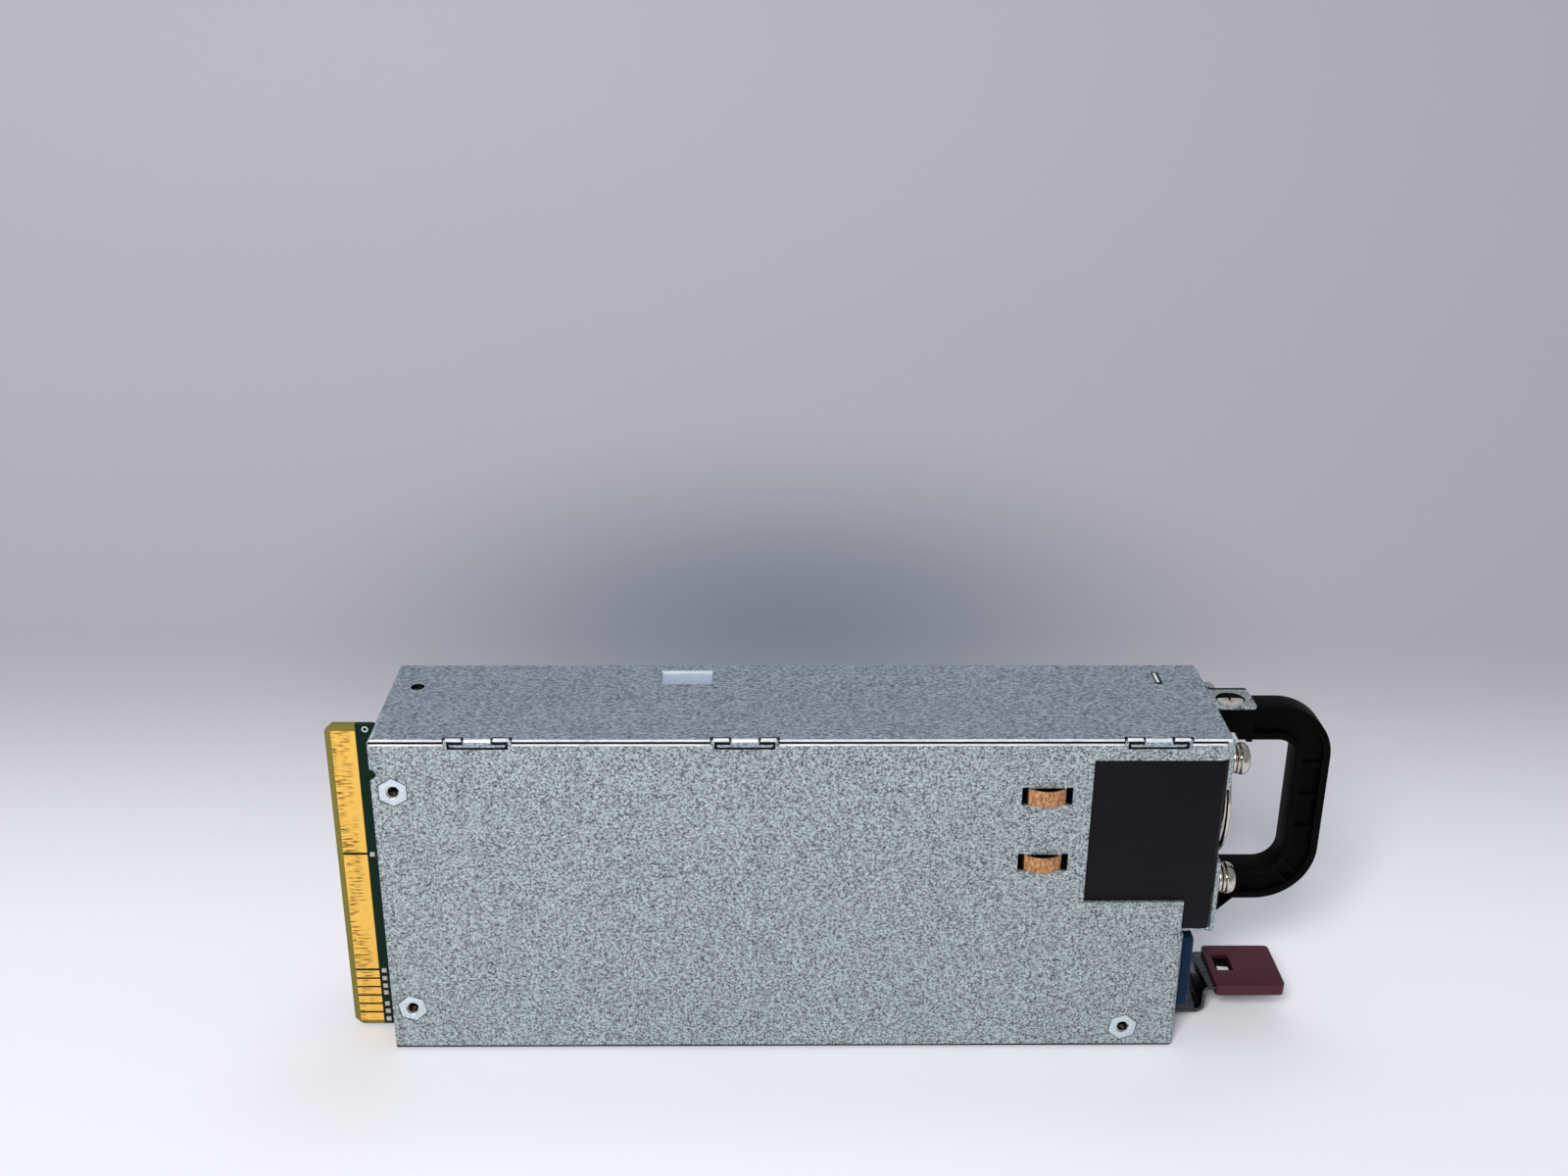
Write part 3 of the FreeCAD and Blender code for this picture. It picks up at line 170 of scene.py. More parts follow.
def wipedGold(name, look):
    # Hard gold with the fine dark wipe lines that a socket leaves across the outer half of the contacts.
    m = startMaterial(name)
    place = addNode(m, "ShaderNodeTexCoord")
    axes = addNode(m, "ShaderNodeSeparateXYZ", {}, {"Vector": place.outputs["Object"]})
    marks = []
    for pattern in (look["lines"], look["patches"]):
        across = addNode(m, "ShaderNodeMapping", {"Scale": [v / mm for v in pattern["scale"]]},
                         {"Vector": place.outputs["Object"]})
        noise = addNode(m, "ShaderNodeTexNoise", {"Scale": 1.0, "Detail": pattern["detail"]},
                        {"Vector": across.outputs[0]})
        marks.append(addNode(m, "ShaderNodeMapRange",
                             {"From Min": pattern["low"], "From Max": pattern["high"]},
                             {"Value": noise.outputs["Fac"]}))
    band = addNode(m, "ShaderNodeMapRange",
                   {"From Min": look["fade"] * mm, "From Max": look["full"] * mm},
                   {"Value": axes.outputs["X"]})
    both = addNode(m, "ShaderNodeMath", {"operation": "MULTIPLY"},
                   {0: marks[0].outputs[0], 1: marks[1].outputs[0]})
    worn = addNode(m, "ShaderNodeMath", {"operation": "MULTIPLY"},
                   {0: both.outputs[0], 1: band.outputs[0]})
    tone = addNode(m, "ShaderNodeMix",
                   {"data_type": "RGBA", 6: linear(look["plain"]), 7: linear(look["worn"])},
                   {0: worn.outputs[0]})
    rough = addNode(m, "ShaderNodeMapRange", {"To Min": look["smooth"], "To Max": look["rough"]},
                    {"Value": worn.outputs[0]})
    shader = addNode(m, "ShaderNodeBsdfPrincipled", {"Metallic": look["metallic"]},
                     {"Base Color": tone.outputs[2], "Roughness": rough.outputs[0]})
    return finishMaterial(m, shader)


# What a finish has unless it says otherwise
plainFinish = {
    "stretch": (1, 1, 1), "detail": 4.0, "grit": 0.6, "low": 0.3, "high": 0.7, "cloud": 30,
    "cloudDetail": 2.0, "clouding": 0.05, "metallic": 0.0, "gloss": 0.5,
}
# Finishes. grain and cloud are pattern sizes in mm; smooth and rough are the ends of the roughness.
finishes = {
    # Hot dip galvanised sheet: a fine bright and dull spangle under a faint clouding
    "galvanisedSheet": {"grain": 0.56, "dark": "#090b0b", "light": "#ced8da", "smooth": 0.36, "rough": 0.6,
                        "metallic": 0.7, "detail": 6.0, "grit": 0.9, "low": 0.415, "high": 0.585,
                        "clouding": 0.05, "cloud": 34, "bump": 0.3, "relief": 0.03},
    # The cover's sheet was rolled along its length, so its spangle is drawn out in short streaks
    "rolledCoverSheet": {"grain": 0.6, "stretch": (0.65, 1.2, 1.0), "dark": "#39454d", "light": "#c4d1db",
                         "smooth": 0.36, "rough": 0.55, "metallic": 0.7, "detail": 6.0, "grit": 0.9,
                         "low": 0.41, "high": 0.59, "clouding": 0.05, "bump": 0.25, "relief": 0.02},
    # Bright zinc on turned steel: pale and a little blue
    "brightZinc": {"grain": 0.5, "dark": "#b7c3ca", "light": "#dfe8ec", "smooth": 0.22, "rough": 0.36,
                   "metallic": 0.8, "clouding": 0.04, "cloud": 3, "bump": 0.1, "relief": 0.01},
    # Nickel plate on screws: warm and mirror-like
    "nickelPlate": {"grain": 0.8, "dark": "#b9b2a6", "light": "#ddd7cc", "smooth": 0.12, "rough": 0.24,
                    "metallic": 1.0, "clouding": 0.04, "cloud": 4, "bump": 0.05, "relief": 0.01},
    # Satin nickel on the countersunk screw: warm, too matt to mirror the wall
    "satinNickel": {"grain": 0.8, "dark": "#aca598", "light": "#d9d2c5", "smooth": 0.36, "rough": 0.5,
                    "metallic": 0.6, "clouding": 0.05, "cloud": 4, "bump": 0.05, "relief": 0.01},
    # Bright spring strip with faint rolling lines along X
    "springStrip": {"grain": 0.7, "stretch": (0.08, 1, 1), "dark": "#303236", "light": "#62666c",
                    "smooth": 0.16, "rough": 0.3, "metallic": 1.0, "clouding": 0.05, "cloud": 12,
                    "bump": 0.1, "relief": 0.01},
    # Bare beryllium copper, brushed across the strip
    "bareCopper": {"grain": 0.45, "stretch": (1, 1, 0.35), "dark": "#6a3c1e", "light": "#e3ab7a",
                   "smooth": 0.26, "rough": 0.42, "metallic": 0.85, "clouding": 0.08, "cloud": 3,
                   "bump": 0.2, "relief": 0.01},
    # Polycarbonate film, matt black with rubbed clouds
    "matteFilm": {"grain": 0.5, "dark": "#050506", "light": "#090a0c", "smooth": 0.45, "rough": 0.58,
                  "clouding": 0.25, "cloud": 14, "bump": 0.1, "relief": 0.01, "gloss": 0.14},
    # Black glass filled nylon, moulded with a fine spark texture
    "mouldedNylon": {"grain": 0.35, "dark": "#010101", "light": "#030303", "smooth": 0.38, "rough": 0.54,
                     "clouding": 0.15, "cloud": 7, "bump": 0.3, "relief": 0.02, "gloss": 0.04},
    # Fan plastic, plain moulded PBT
    "mouldedPbt": {"grain": 0.4, "dark": "#0b0b0c", "light": "#151517", "smooth": 0.4, "rough": 0.55,
                   "clouding": 0.08, "bump": 0.15, "relief": 0.01, "gloss": 0.25},
    # Blue PBT of the inlet's rim
    "bluePbt": {"grain": 0.4, "dark": "#021a31", "light": "#04233f", "smooth": 0.4, "rough": 0.52,
                "clouding": 0.08, "cloud": 9, "bump": 0.15, "relief": 0.01, "gloss": 0.12},
    # Burgundy ABS of the thumb cap, fine moulded grain
    "burgundyAbs": {"grain": 0.3, "dark": "#3f1722", "light": "#4c1e2c", "smooth": 0.38, "rough": 0.52,
                    "clouding": 0.08, "cloud": 8, "bump": 0.3, "relief": 0.015, "gloss": 0.25},
    # Ferrite with yellowed tape and lacquered wire
    "woundFerrite": {"grain": 0.8, "dark": "#1f1d1c", "light": "#3a3431", "smooth": 0.4, "rough": 0.6,
                     "clouding": 0.1, "bump": 0.3, "relief": 0.03},
    # Extruded aluminium, satin with draw lines
    "extrudedAluminium": {"grain": 0.6, "stretch": (0.06, 1, 1), "dark": "#a8acb0", "light": "#cfd2d5",
                          "smooth": 0.3, "rough": 0.42, "metallic": 0.95, "bump": 0.12, "relief": 0.01},
    # PVC sleeve of capacitors
    "shrinkSleeve": {"grain": 0.5, "dark": "#0d0e14", "light": "#1a1c26", "smooth": 0.25, "rough": 0.36,
                     "bump": 0.06, "relief": 0.01},
    # Yellow polyester case of the film capacitor
    "yellowCase": {"grain": 0.5, "dark": "#b58a1f", "light": "#d0a636", "smooth": 0.35, "rough": 0.5,
                   "bump": 0.1, "relief": 0.01},
    # Milky polyester sheet
    "milkySheet": {"grain": 0.6, "dark": "#c8cac4", "light": "#dcded8", "smooth": 0.3, "rough": 0.42,
                   "bump": 0.05, "relief": 0.01},
    # Tinned copper bar
    "tinnedCopper": {"grain": 0.5, "dark": "#a9a59c", "light": "#cbc8c0", "smooth": 0.28, "rough": 0.4,
                     "metallic": 0.9, "bump": 0.1, "relief": 0.01},
    # Natural nylon connector
    "naturalNylon": {"grain": 0.5, "dark": "#c9c5b6", "light": "#dedacb", "smooth": 0.42, "rough": 0.55,
                     "bump": 0.1, "relief": 0.01},
    # Sheet where it was sheared or rolled over: bright zinc, lightened to near white as a painted highlight
    "paintedEdgeHighlight": {"grain": 0.7, "stretch": (0.2, 1, 1), "dark": "#c9ced2", "light": "#f4f6f7", "smooth": 0.25,
                    "rough": 0.42, "metallic": 0.35, "clouding": 0.05, "bump": 0.05, "relief": 0.01},
    # Painted shade: near black for the inside of narrow gaps between sheets, and of holes, bores and folds
    "seamShadow": {"grain": 0.6, "dark": "#050505", "light": "#0c0d0e", "smooth": 0.6, "rough": 0.8,
                   "bump": 0.05, "relief": 0.01, "gloss": 0.1},
    # Oiled dark steel of threads and screws; on the standoffs' bore walls it is also painted shade
    "oiledSteelAndBoreShade": {"grain": 0.4, "dark": "#1b1d20", "light": "#4c5157", "smooth": 0.15, "rough": 0.35,
                   "metallic": 1.0, "clouding": 0.1, "cloud": 2, "bump": 0.1, "relief": 0.01},
    # Smooth plated sheet under the window
    "smoothPlate": {"grain": 3.0, "dark": "#9aa6b9", "light": "#a3afc1", "smooth": 0.5, "rough": 0.62,
                    "metallic": 0.1, "clouding": 0.03, "cloud": 9, "bump": 0.03, "relief": 0.01},
    # White ink printed on the board
    "screenInk": {"grain": 0.3, "dark": "#b9bfb8", "light": "#d5dad3", "smooth": 0.5, "rough": 0.6,
                  "bump": 0.1, "relief": 0.01},
}
materials = {name: speckledFinish(name, plainFinish | look) for name, look in finishes.items()}
# Board of the card edge: its four colours, its surface, and the lines in mm where the mask ends
cardLook = {"mask": "#02140b", "track": "#05281a", "glassDark": "#5d5724", "glassLight": "#857b3c",
            "fibre": 0.4, "smooth": 0.3, "rough": 0.62, "bump": 0.15, "relief": 0.01, "gloss": 0.1}
cardBorder = {"outer": -108.4, "inner": -102.7, "low": 1.9, "high": 82.6}
materials["solderMask"] = cardFinish("solderMask", cardLook, cardBorder)
# Contacts: colour of clean and wiped gold, the band of X in mm in which the wear fades in, and the
# repeats per mm of the wipe lines and of the patches that hold them, drawn coarse enough to show
goldLook = {
    "plain": "#efbc54", "worn": "#7a5a17", "fade": -103.6, "full": -105.4,
    "lines": {"scale": (0.35, 0.0, 2.1), "detail": 1.5, "low": 0.47, "high": 0.62},
    "patches": {"scale": (0.3, 0.0, 0.07), "detail": 1.0, "low": 0.38, "high": 0.58},
    "metallic": 0.55, "smooth": 0.28, "rough": 0.5,
}
materials["hardGold"] = wipedGold("hardGold", goldLook)
print("finishes made:", len(materials))

slotFinish = {
    "galvanised_steel": "galvanisedSheet", "spring_steel": "springStrip", "zinc_fastener": "brightZinc",
    "nickel_fastener": "nickelPlate", "copper_spring": "bareCopper", "black_film": "matteFilm",
    "black_handle": "mouldedNylon", "black_fan": "mouldedPbt", "blue_bezel": "bluePbt",
    "black_inlet": "mouldedPbt", "nickel_pins": "nickelPlate", "burgundy_cap": "burgundyAbs",
    "board_green": "solderMask", "gold_fingers": "hardGold", "ferrite": "woundFerrite",
    "aluminium_sink": "extrudedAluminium", "capacitor_sleeve": "shrinkSleeve", "yellow_case": "yellowCase",
    "clear_insulator": "milkySheet", "tinned_copper": "tinnedCopper", "white_connector": "naturalNylon",
}
nodeSlot = {part["node"]: part["material_slot"] for part in frame["record"]["subparts"]}
bodies = frame["record"]["behaviour"]["bodies"]
nodeBody = {name: body for body, members in bodies.items() for name in members}


def paint(piece, finish):
    piece.data.materials.clear()
    piece.data.materials.append(materials[finish])


# The cover is the only node whose finish isn't its slot's own
nodeFinish = {name: slotFinish[nodeSlot[name]] for name in nodes}
nodeFinish["cover_shell"] = "rolledCoverSheet"
for nodeName, cadNode in nodes.items():
    paint(cadNode, nodeFinish[nodeName])
print("carried nodes painted:", len(nodes))


def selectOnly(piece):
    bpy.ops.object.select_all(action="DESELECT")
    piece.select_set(True)
    bpy.context.view_layer.objects.active = piece


def setMode(mode):
    bpy.ops.object.mode_set(mode=mode)


def extrude(step):
    # Draws the selected faces or edges out by a step in metres.
    bpy.ops.mesh.extrude_region_move(TRANSFORM_OT_translate={"value": step})


def placed(name):
    # The primitive just added, named, with its place and turn moved into its mesh.
    piece = bpy.context.active_object
    piece.name = name
    selectOnly(piece)
    bpy.ops.object.transform_apply(location=True, rotation=True, scale=True)
    return piece


def markFaces(piece, test):
    # Leaves the piece in edit mode with only the faces that pass the test on their centre (mm) and normal.
    selectOnly(piece)
    setMode("EDIT")
    bpy.ops.mesh.select_mode(type="FACE")
    bpy.ops.mesh.select_all(action="DESELECT")
    setMode("OBJECT")
    for face in piece.data.polygons:
        face.select = test(face.center / mm, face.normal)
    setMode("EDIT")


def markEdges(piece, test):
    # Leaves the piece in edit mode with only the edges whose two ends pass the test on their place (mm).
    selectOnly(piece)
    setMode("EDIT")
    bpy.ops.mesh.select_mode(type="EDGE")
    bpy.ops.mesh.select_all(action="DESELECT")
    setMode("OBJECT")
    for edge in piece.data.edges:
        edge.select = all(test(piece.data.vertices[v].co / mm) for v in edge.vertices)
    setMode("EDIT")


def shapeBy(piece, kind, settings):
    # One modifier with its settings, applied at once.
    selectOnly(piece)
    modifier = piece.modifiers.new(kind.lower(), kind)
    for key, value in settings.items():
        setattr(modifier, key, value)
    bpy.ops.object.modifier_apply(modifier=modifier.name)


def closeMesh(piece, smooth=35):
    selectOnly(piece)
    setMode("EDIT")
    bpy.ops.mesh.select_all(action="SELECT")
    bpy.ops.mesh.remove_doubles(threshold=weld)
    bpy.ops.mesh.normals_make_consistent(inside=False)
    setMode("OBJECT")
    bpy.ops.object.shade_smooth_by_angle(angle=math.radians(smooth))


def bevelEdges(piece, width, segments=2, angle=30):
    shapeBy(piece, "BEVEL", {"width": width * mm, "segments": segments, "limit_method": "ANGLE",
                             "angle_limit": math.radians(angle)})


def addBlock(name, low, high, edge=0.0):
    # A block between two corners in mm, with its edges broken.
    bpy.ops.object.select_all(action="DESELECT")
    middle = (Vector(low) + Vector(high)) / 2 * mm
    bpy.ops.mesh.primitive_cube_add(size=1, location=middle, scale=(Vector(high) - Vector(low)) * mm)
    piece = placed(name)
    if edge:
        bevelEdges(piece, edge)
    return piece


def turnedPiece(name, centre, axis, profile, sides=48):
    # Lathe work: a disc drawn out ring by ring. The profile holds radius and distance along the axis in mm.
    bpy.ops.object.select_all(action="DESELECT")
    way = Vector(axis)
    radius, reach = profile[0]
    at = (Vector(centre) + way * reach) * mm
    bpy.ops.mesh.primitive_circle_add(vertices=sides, radius=radius * mm, fill_type="NGON", location=at,
                                      rotation=way.to_track_quat("Z", "Y").to_euler())
    piece = placed(name)
    setMode("EDIT")
    bpy.ops.mesh.select_mode(type="FACE")
    bpy.ops.mesh.select_all(action="SELECT")
    for nextRadius, nextReach in profile[1:]:
        step = way * (nextReach - reach) * mm
        at = at + step
        extrude(step)
        if nextRadius != radius:
            bpy.ops.transform.resize(value=(nextRadius / radius,) * 3, center_override=at)
        radius, reach = nextRadius, nextReach
    setMode("OBJECT")
    closeMesh(piece)
    return piece


def flatRing(name, sides, radius, width, place, thickness):
    # A flat ring across Y in mm: a disc inset, emptied and thickened to both sides.
    bpy.ops.object.select_all(action="DESELECT")
    bpy.ops.mesh.primitive_circle_add(vertices=sides, radius=radius * mm, fill_type="NGON",
                                      location=Vector(place) * mm, rotation=(math.pi / 2, 0, 0))
    ring = placed(name)
    markFaces(ring, lambda c, n: True)
    bpy.ops.mesh.inset(thickness=width * mm)
    bpy.ops.mesh.delete(type="FACE")
    setMode("OBJECT")
    shapeBy(ring, "SOLIDIFY", {"thickness": thickness * mm, "offset": 0})
    closeMesh(ring)
    return ring


def ribbon(name, corners, width, front, back):
    # A strip of even width in XZ along right-angled corners, then thickened from front to back.
    middle = (front + back) / 2
    x, z = corners[0]
    bpy.ops.object.select_all(action="DESELECT")
    bpy.ops.mesh.primitive_plane_add(size=width * mm, location=(x * mm, middle * mm, z * mm),
                                     rotation=(math.pi / 2, 0, 0))
    strip = placed(name)
    for nextX, nextZ in corners[1:]:
        way = Vector((nextX - x, 0, nextZ - z))
        ahead = way.normalized()
        corner = Vector((x, middle, z))
        # The last square's far edge: close to the corner, and more than a third of the width ahead
        markEdges(strip, lambda at: (at - corner).length < width and (at - corner).dot(ahead) > width / 3)
        for reach in (way.length - width, width):
            extrude(ahead * reach * mm)
        setMode("OBJECT")
        x, z = nextX, nextZ
    shapeBy(strip, "SOLIDIFY", {"thickness": (back - front) * mm, "offset": 0})
    closeMesh(strip)
    return strip


def joined(name, parts):
    bpy.ops.object.select_all(action="DESELECT")
    for part in parts:
        part.select_set(True)
    bpy.context.view_layer.objects.active = parts[0]
    bpy.ops.object.join()
    parts[0].name = name
    return parts[0]


def copyTo(piece, shift, turn=0):
    # A copy with a mesh of its own, turned about Y in degrees and moved by a shift in mm.
    double = piece.copy()
    double.data = piece.data.copy()
    scene.collection.objects.link(double)
    selectOnly(double)
    double.rotation_euler = (0, math.radians(-turn), 0)
    double.location = Vector(shift) * mm
    bpy.ops.object.transform_apply(location=True, rotation=True, scale=False)
    return double


def mirrored(piece, y, z, middle, smooth):
    # A copy with Y or Z turned over where y or z is -1; the mirror for Z lies at a middle height in mm.
    double = copyTo(piece, (0, 0, 0))
    setMode("EDIT")
    bpy.ops.mesh.select_all(action="SELECT")
    bpy.ops.transform.resize(value=(1, y, z), center_override=(0, 0, middle * mm))
    setMode("OBJECT")
    closeMesh(double, smooth)
    return double


def fitPiece(piece, finish, body, stands=None):
    paint(piece, finish)
    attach(piece, body)
    if stands:
        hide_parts(stands)
    return piece


def paintFaces(piece, finish, test):
    # A second finish on the faces that pass the test on their centre (mm) and normal.
    piece.data.materials.append(materials[finish])
    last = len(piece.data.materials) - 1
    for face in piece.data.polygons:
        if test(face.center / mm, face.normal):
            face.material_index = last


# Edge breaks in mm for each node that shows; the two shells keep the sharp edges of cut sheet
edgeBreaks = {
    "tray_shell": 0.0, "cover_shell": 0.0, "fan_bracket": 0.10, "handle": 0.22, "latch_leaf": 0.10,
    "latch_cap": 0.12, "inlet_bezel": 0.20, "inlet_body": 0.12, "inlet_pins": 0.10, "catch_plate": 0.10,
    "fan_frame": 0.18, "fan_rotor": 0.10, "main_board": 0.05, "board_screws": 0.08,
    "standoff_rear_upper": 0.10, "standoff_rear_lower": 0.10, "standoff_front": 0.10,
    "latch_rivets": 0.08, "fan_window_film": 0.03,
}
# Before that, points closer than weld (mm) become one and faces within flat (degrees) become one.
edgeLook = {"weld": 0.02, "flat": 0.6, "smooth": 35}


def roundedCopy(nodeName, width, look):
    # The node's own form with its edges broken, for the highlights that a real edge catches.
    piece = bpy.data.objects.new(nodeName + ".finished", nodes[nodeName].data.copy())
    scene.collection.objects.link(piece)
    selectOnly(piece)
    setMode("EDIT")
    bpy.ops.mesh.select_all(action="SELECT")
    bpy.ops.mesh.remove_doubles(threshold=look["weld"] * mm)
    bpy.ops.mesh.dissolve_limited(angle_limit=math.radians(look["flat"]))
    setMode("OBJECT")
    if width:
        bevelEdges(piece, width)
    bpy.ops.object.shade_smooth_by_angle(angle=math.radians(look["smooth"]))
    if not width:
        # Wide flats keep their own normals beside the folds.
        shapeBy(piece, "WEIGHTED_NORMAL", {"keep_sharp": True})
    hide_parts(nodeName)
    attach(piece, nodeBody[nodeName])
    return piece


finished = {}
for nodeName, width in edgeBreaks.items():
    finished[nodeName] = roundedCopy(nodeName, width, edgeLook)
    paint(finished[nodeName], nodeFinish[nodeName])
print("edges broken:", len(finished))

# Both cross recesses: height of the cutting bars over the head in mm, how far they narrow to their
# bottom, and the smoothing angle of the finished screw
recess = {"rise": 0.6, "taper": 0.45, "smooth": 30}


def crossScrew(name, centre, axis, look):
    # A turned screw with a cross recess: two bars that narrow as they go down are cut from its head.
    screw = turnedPiece(name, centre, axis, look["profile"])
    way, side = Vector(axis), Vector((0, 1, 0))
    other = way.cross(side)
    tip, depth = Vector(centre) + way * look["tip"], way * look["crossDepth"]
    for along, across in ((side, other), (other, side)):
        half = along * look["crossLength"] / 2 + across * look["crossWidth"] / 2
        ends = (tip - half - depth, tip + half + way * recess["rise"])
        low = [min(a, b) for a, b in zip(*ends)]
        high = [max(a, b) for a, b in zip(*ends)]
        bar = addBlock("crossBit", low, high)
        markFaces(bar, lambda c, n: n.dot(way) < -facing)
        bpy.ops.transform.resize(value=(recess["taper"],) * 3, center_override=(tip - depth) * mm)
        setMode("OBJECT")
        shapeBy(screw, "BOOLEAN", {"operation": "DIFFERENCE", "object": bar})
        bpy.data.objects.remove(bar)
    bpy.ops.object.shade_smooth_by_angle(angle=math.radians(recess["smooth"]))
    return screw


# Pan head screws with a captive washer, at the four corners of the fan
fanScrew = {
    "y": 16.0, "z": (45.9, 77.9),
    "profile": [(1.9, 86.0), (1.9, 100.1), (3.4, 100.1), (3.5, 100.2), (3.5, 100.62), (3.4, 100.72),
                (2.5, 100.72), (2.5, 101.0), (3.55, 101.0), (3.75, 101.2), (3.75, 101.75), (3.58, 102.3),
                (3.1, 102.85), (2.3, 103.25), (1.3, 103.44), (0.5, 103.49)],
    "tip": 103.5, "crossLength": 4.0, "crossWidth": 0.85, "crossDepth": 1.5,
}


def makeFanScrews(look):
    low, high = look["z"]
    rise, span = high - low, 2 * look["y"]
    first = crossScrew("fanScrew", (0, -look["y"], low), (1, 0, 0), look)
    copies = [copyTo(first, (0, y, z)) for y, z in ((0, rise), (span, 0), (span, rise))]
    fitPiece(joined("fanScrews", [first] + copies), "nickelPlate", "chassis", "fan_screws")


# Round wire guard: three rings on four wires that end in eyelets under the screws
guard = {
    "wire": 0.58, "sides": 12, "centreZ": 61.9, "rings": [(15.4, 100.4), (10.6, 100.93), (5.8, 101.46)],
    "ringSteps": 72, "ringSmooth": 60, "hub": (5.4, 100.95), "knee": (18.18, 99.52), "foot": 19.9,
    "bend": 0.15, "wireSmooth": 50, "eyelet": 2.82, "eyeletSteps": 32, "eyeletX": 99.5, "screws": 16.0,
}


def wireRing(name, look, place, radius, steps):
    bpy.ops.object.select_all(action="DESELECT")
    rim = Vector(place) + Vector((0, 0, radius))
    bpy.ops.mesh.primitive_circle_add(vertices=look["sides"], radius=look["wire"] * mm,
                                      location=rim * mm, rotation=(math.pi / 2, 0, 0))
    ring = placed(name)
    setMode("EDIT")
    bpy.ops.mesh.select_all(action="SELECT")
    bpy.ops.mesh.spin(steps=steps, angle=2 * math.pi, center=Vector(place) * mm, axis=(1, 0, 0))
    setMode("OBJECT")
    closeMesh(ring, look["ringSmooth"])
    return ring


def makeGuard(look):
    middle, slant = look["centreZ"], math.sqrt(0.5)
    wires = [wireRing("guardRing", look, (x, 0, middle), r, look["ringSteps"]) for r, x in look["rings"]]

    def at(r, x):
        return Vector((x, slant * r, middle + slant * r))
    inner, knee, foot = at(*look["hub"]), at(*look["knee"]), at(look["foot"], look["knee"][1])
    run = knee - inner
    bpy.ops.object.select_all(action="DESELECT")
    bpy.ops.mesh.primitive_cylinder_add(vertices=look["sides"], radius=look["wire"] * mm,
                                        depth=run.length * mm, location=(inner + knee) / 2 * mm,
                                        rotation=run.to_track_quat("Z", "Y").to_euler())
    wire = placed("guardWire")
    markFaces(wire, lambda c, n: n.dot(run.normalized()) > facing)
    extrude((foot - knee) * mm)
    setMode("OBJECT")
    bevelEdges(wire, look["bend"], 2, look["wireSmooth"])
    closeMesh(wire, look["wireSmooth"])
    eyeletPlace = (look["eyeletX"], look["screws"], middle + look["screws"])
    eyelet = wireRing("guardEyelet", look, eyeletPlace, look["eyelet"], look["eyeletSteps"])
    wires += [wire, eyelet]
    for y, z in ((1, -1), (-1, 1), (-1, -1)):
        wires.append(mirrored(wire, y, z, middle, look["wireSmooth"]))
        wires.append(mirrored(eyelet, y, z, middle, look["ringSmooth"]))
    fitPiece(joined("guardWires", wires), "nickelPlate", "chassis", "fan_guard")


# Copper grounding strips: an arch through the slot on legs that go straight in
groundStrip = {
    "x": 56.8, "half": 4.35, "height": 4.1, "sheet": 0.3, "face": -19.75, "bulge": 1.9, "leg": 1.9,
    "places": {"grounding_spring_upper": 70.1, "grounding_spring_lower": 52.5}, "steps": 18,
    "inward": 0.3, "near": 0.05, "edge": 0.06, "smooth": 40,
}


def makeGroundStrips(look):
    half, sheet, steps = look["half"], look["sheet"], look["steps"]
    firstZ, *otherZ = look["places"].values()

    def depth(x):
        return look["face"] - look["bulge"] * (1 - (x / half) ** 2)
    x = -half
    start = Vector((look["x"] + x, depth(x) + sheet / 2, firstZ)) * mm
    bpy.ops.object.select_all(action="DESELECT")
    bpy.ops.mesh.primitive_plane_add(size=1, location=start, rotation=(0, math.pi / 2, 0))
    strip = placed("groundStrip")
    setMode("EDIT")
    bpy.ops.mesh.select_mode(type="FACE")
    bpy.ops.mesh.select_all(action="SELECT")
    bpy.ops.transform.resize(value=(1, sheet * mm, look["height"] * mm), center_override=start)
    for i in range(1, steps + 1):
        nextX = -half + 2 * half * i / steps
        step = Vector((nextX - x, depth(nextX) - depth(x), 0)) * mm
        extrude(step)
        x = nextX
    setMode("OBJECT")
    closeMesh(strip)
    # The legs grow from the inner faces of the first and the last step.
    foot = half - half / steps
    markFaces(strip, lambda c, n: n.y > look["inward"] and abs(abs(c.x - look["x"]) - foot) < look["near"])
    extrude((0, look["leg"] * mm, 0))
    setMode("OBJECT")
    bevelEdges(strip, look["edge"], 2, look["smooth"])
    closeMesh(strip, look["smooth"])
    strips = [strip] + [copyTo(strip, (0, 0, z - firstZ)) for z in otherZ]
    for piece, node in zip(strips, look["places"]):
        fitPiece(piece, "bareCopper", nodeBody[node], node)


# Pressed-in hex standoffs, with X, Z and turn in degrees: a thread in each bore, on a ridge coarse enough
# to show, and a line of painted shade in the gap round each head
standoff = {
    "places": [(-93.2, 71.4, 0.0), (-93.2, 11.9, 12.0), (79.3, 5.8, -10.0)],
    "bore": 1.5, "reach": 1.8, "ridge": 0.24, "pitch": 0.5, "turns": 6, "start": -19.8, "steps": 28,
    "smooth": 30, "flats": 6.35, "line": 0.16, "lineDepth": 0.03,
}


def boreSide(c):
    return any(math.hypot(c.x - x, c.z - z) < standoff["reach"] for x, z, turn in standoff["places"])


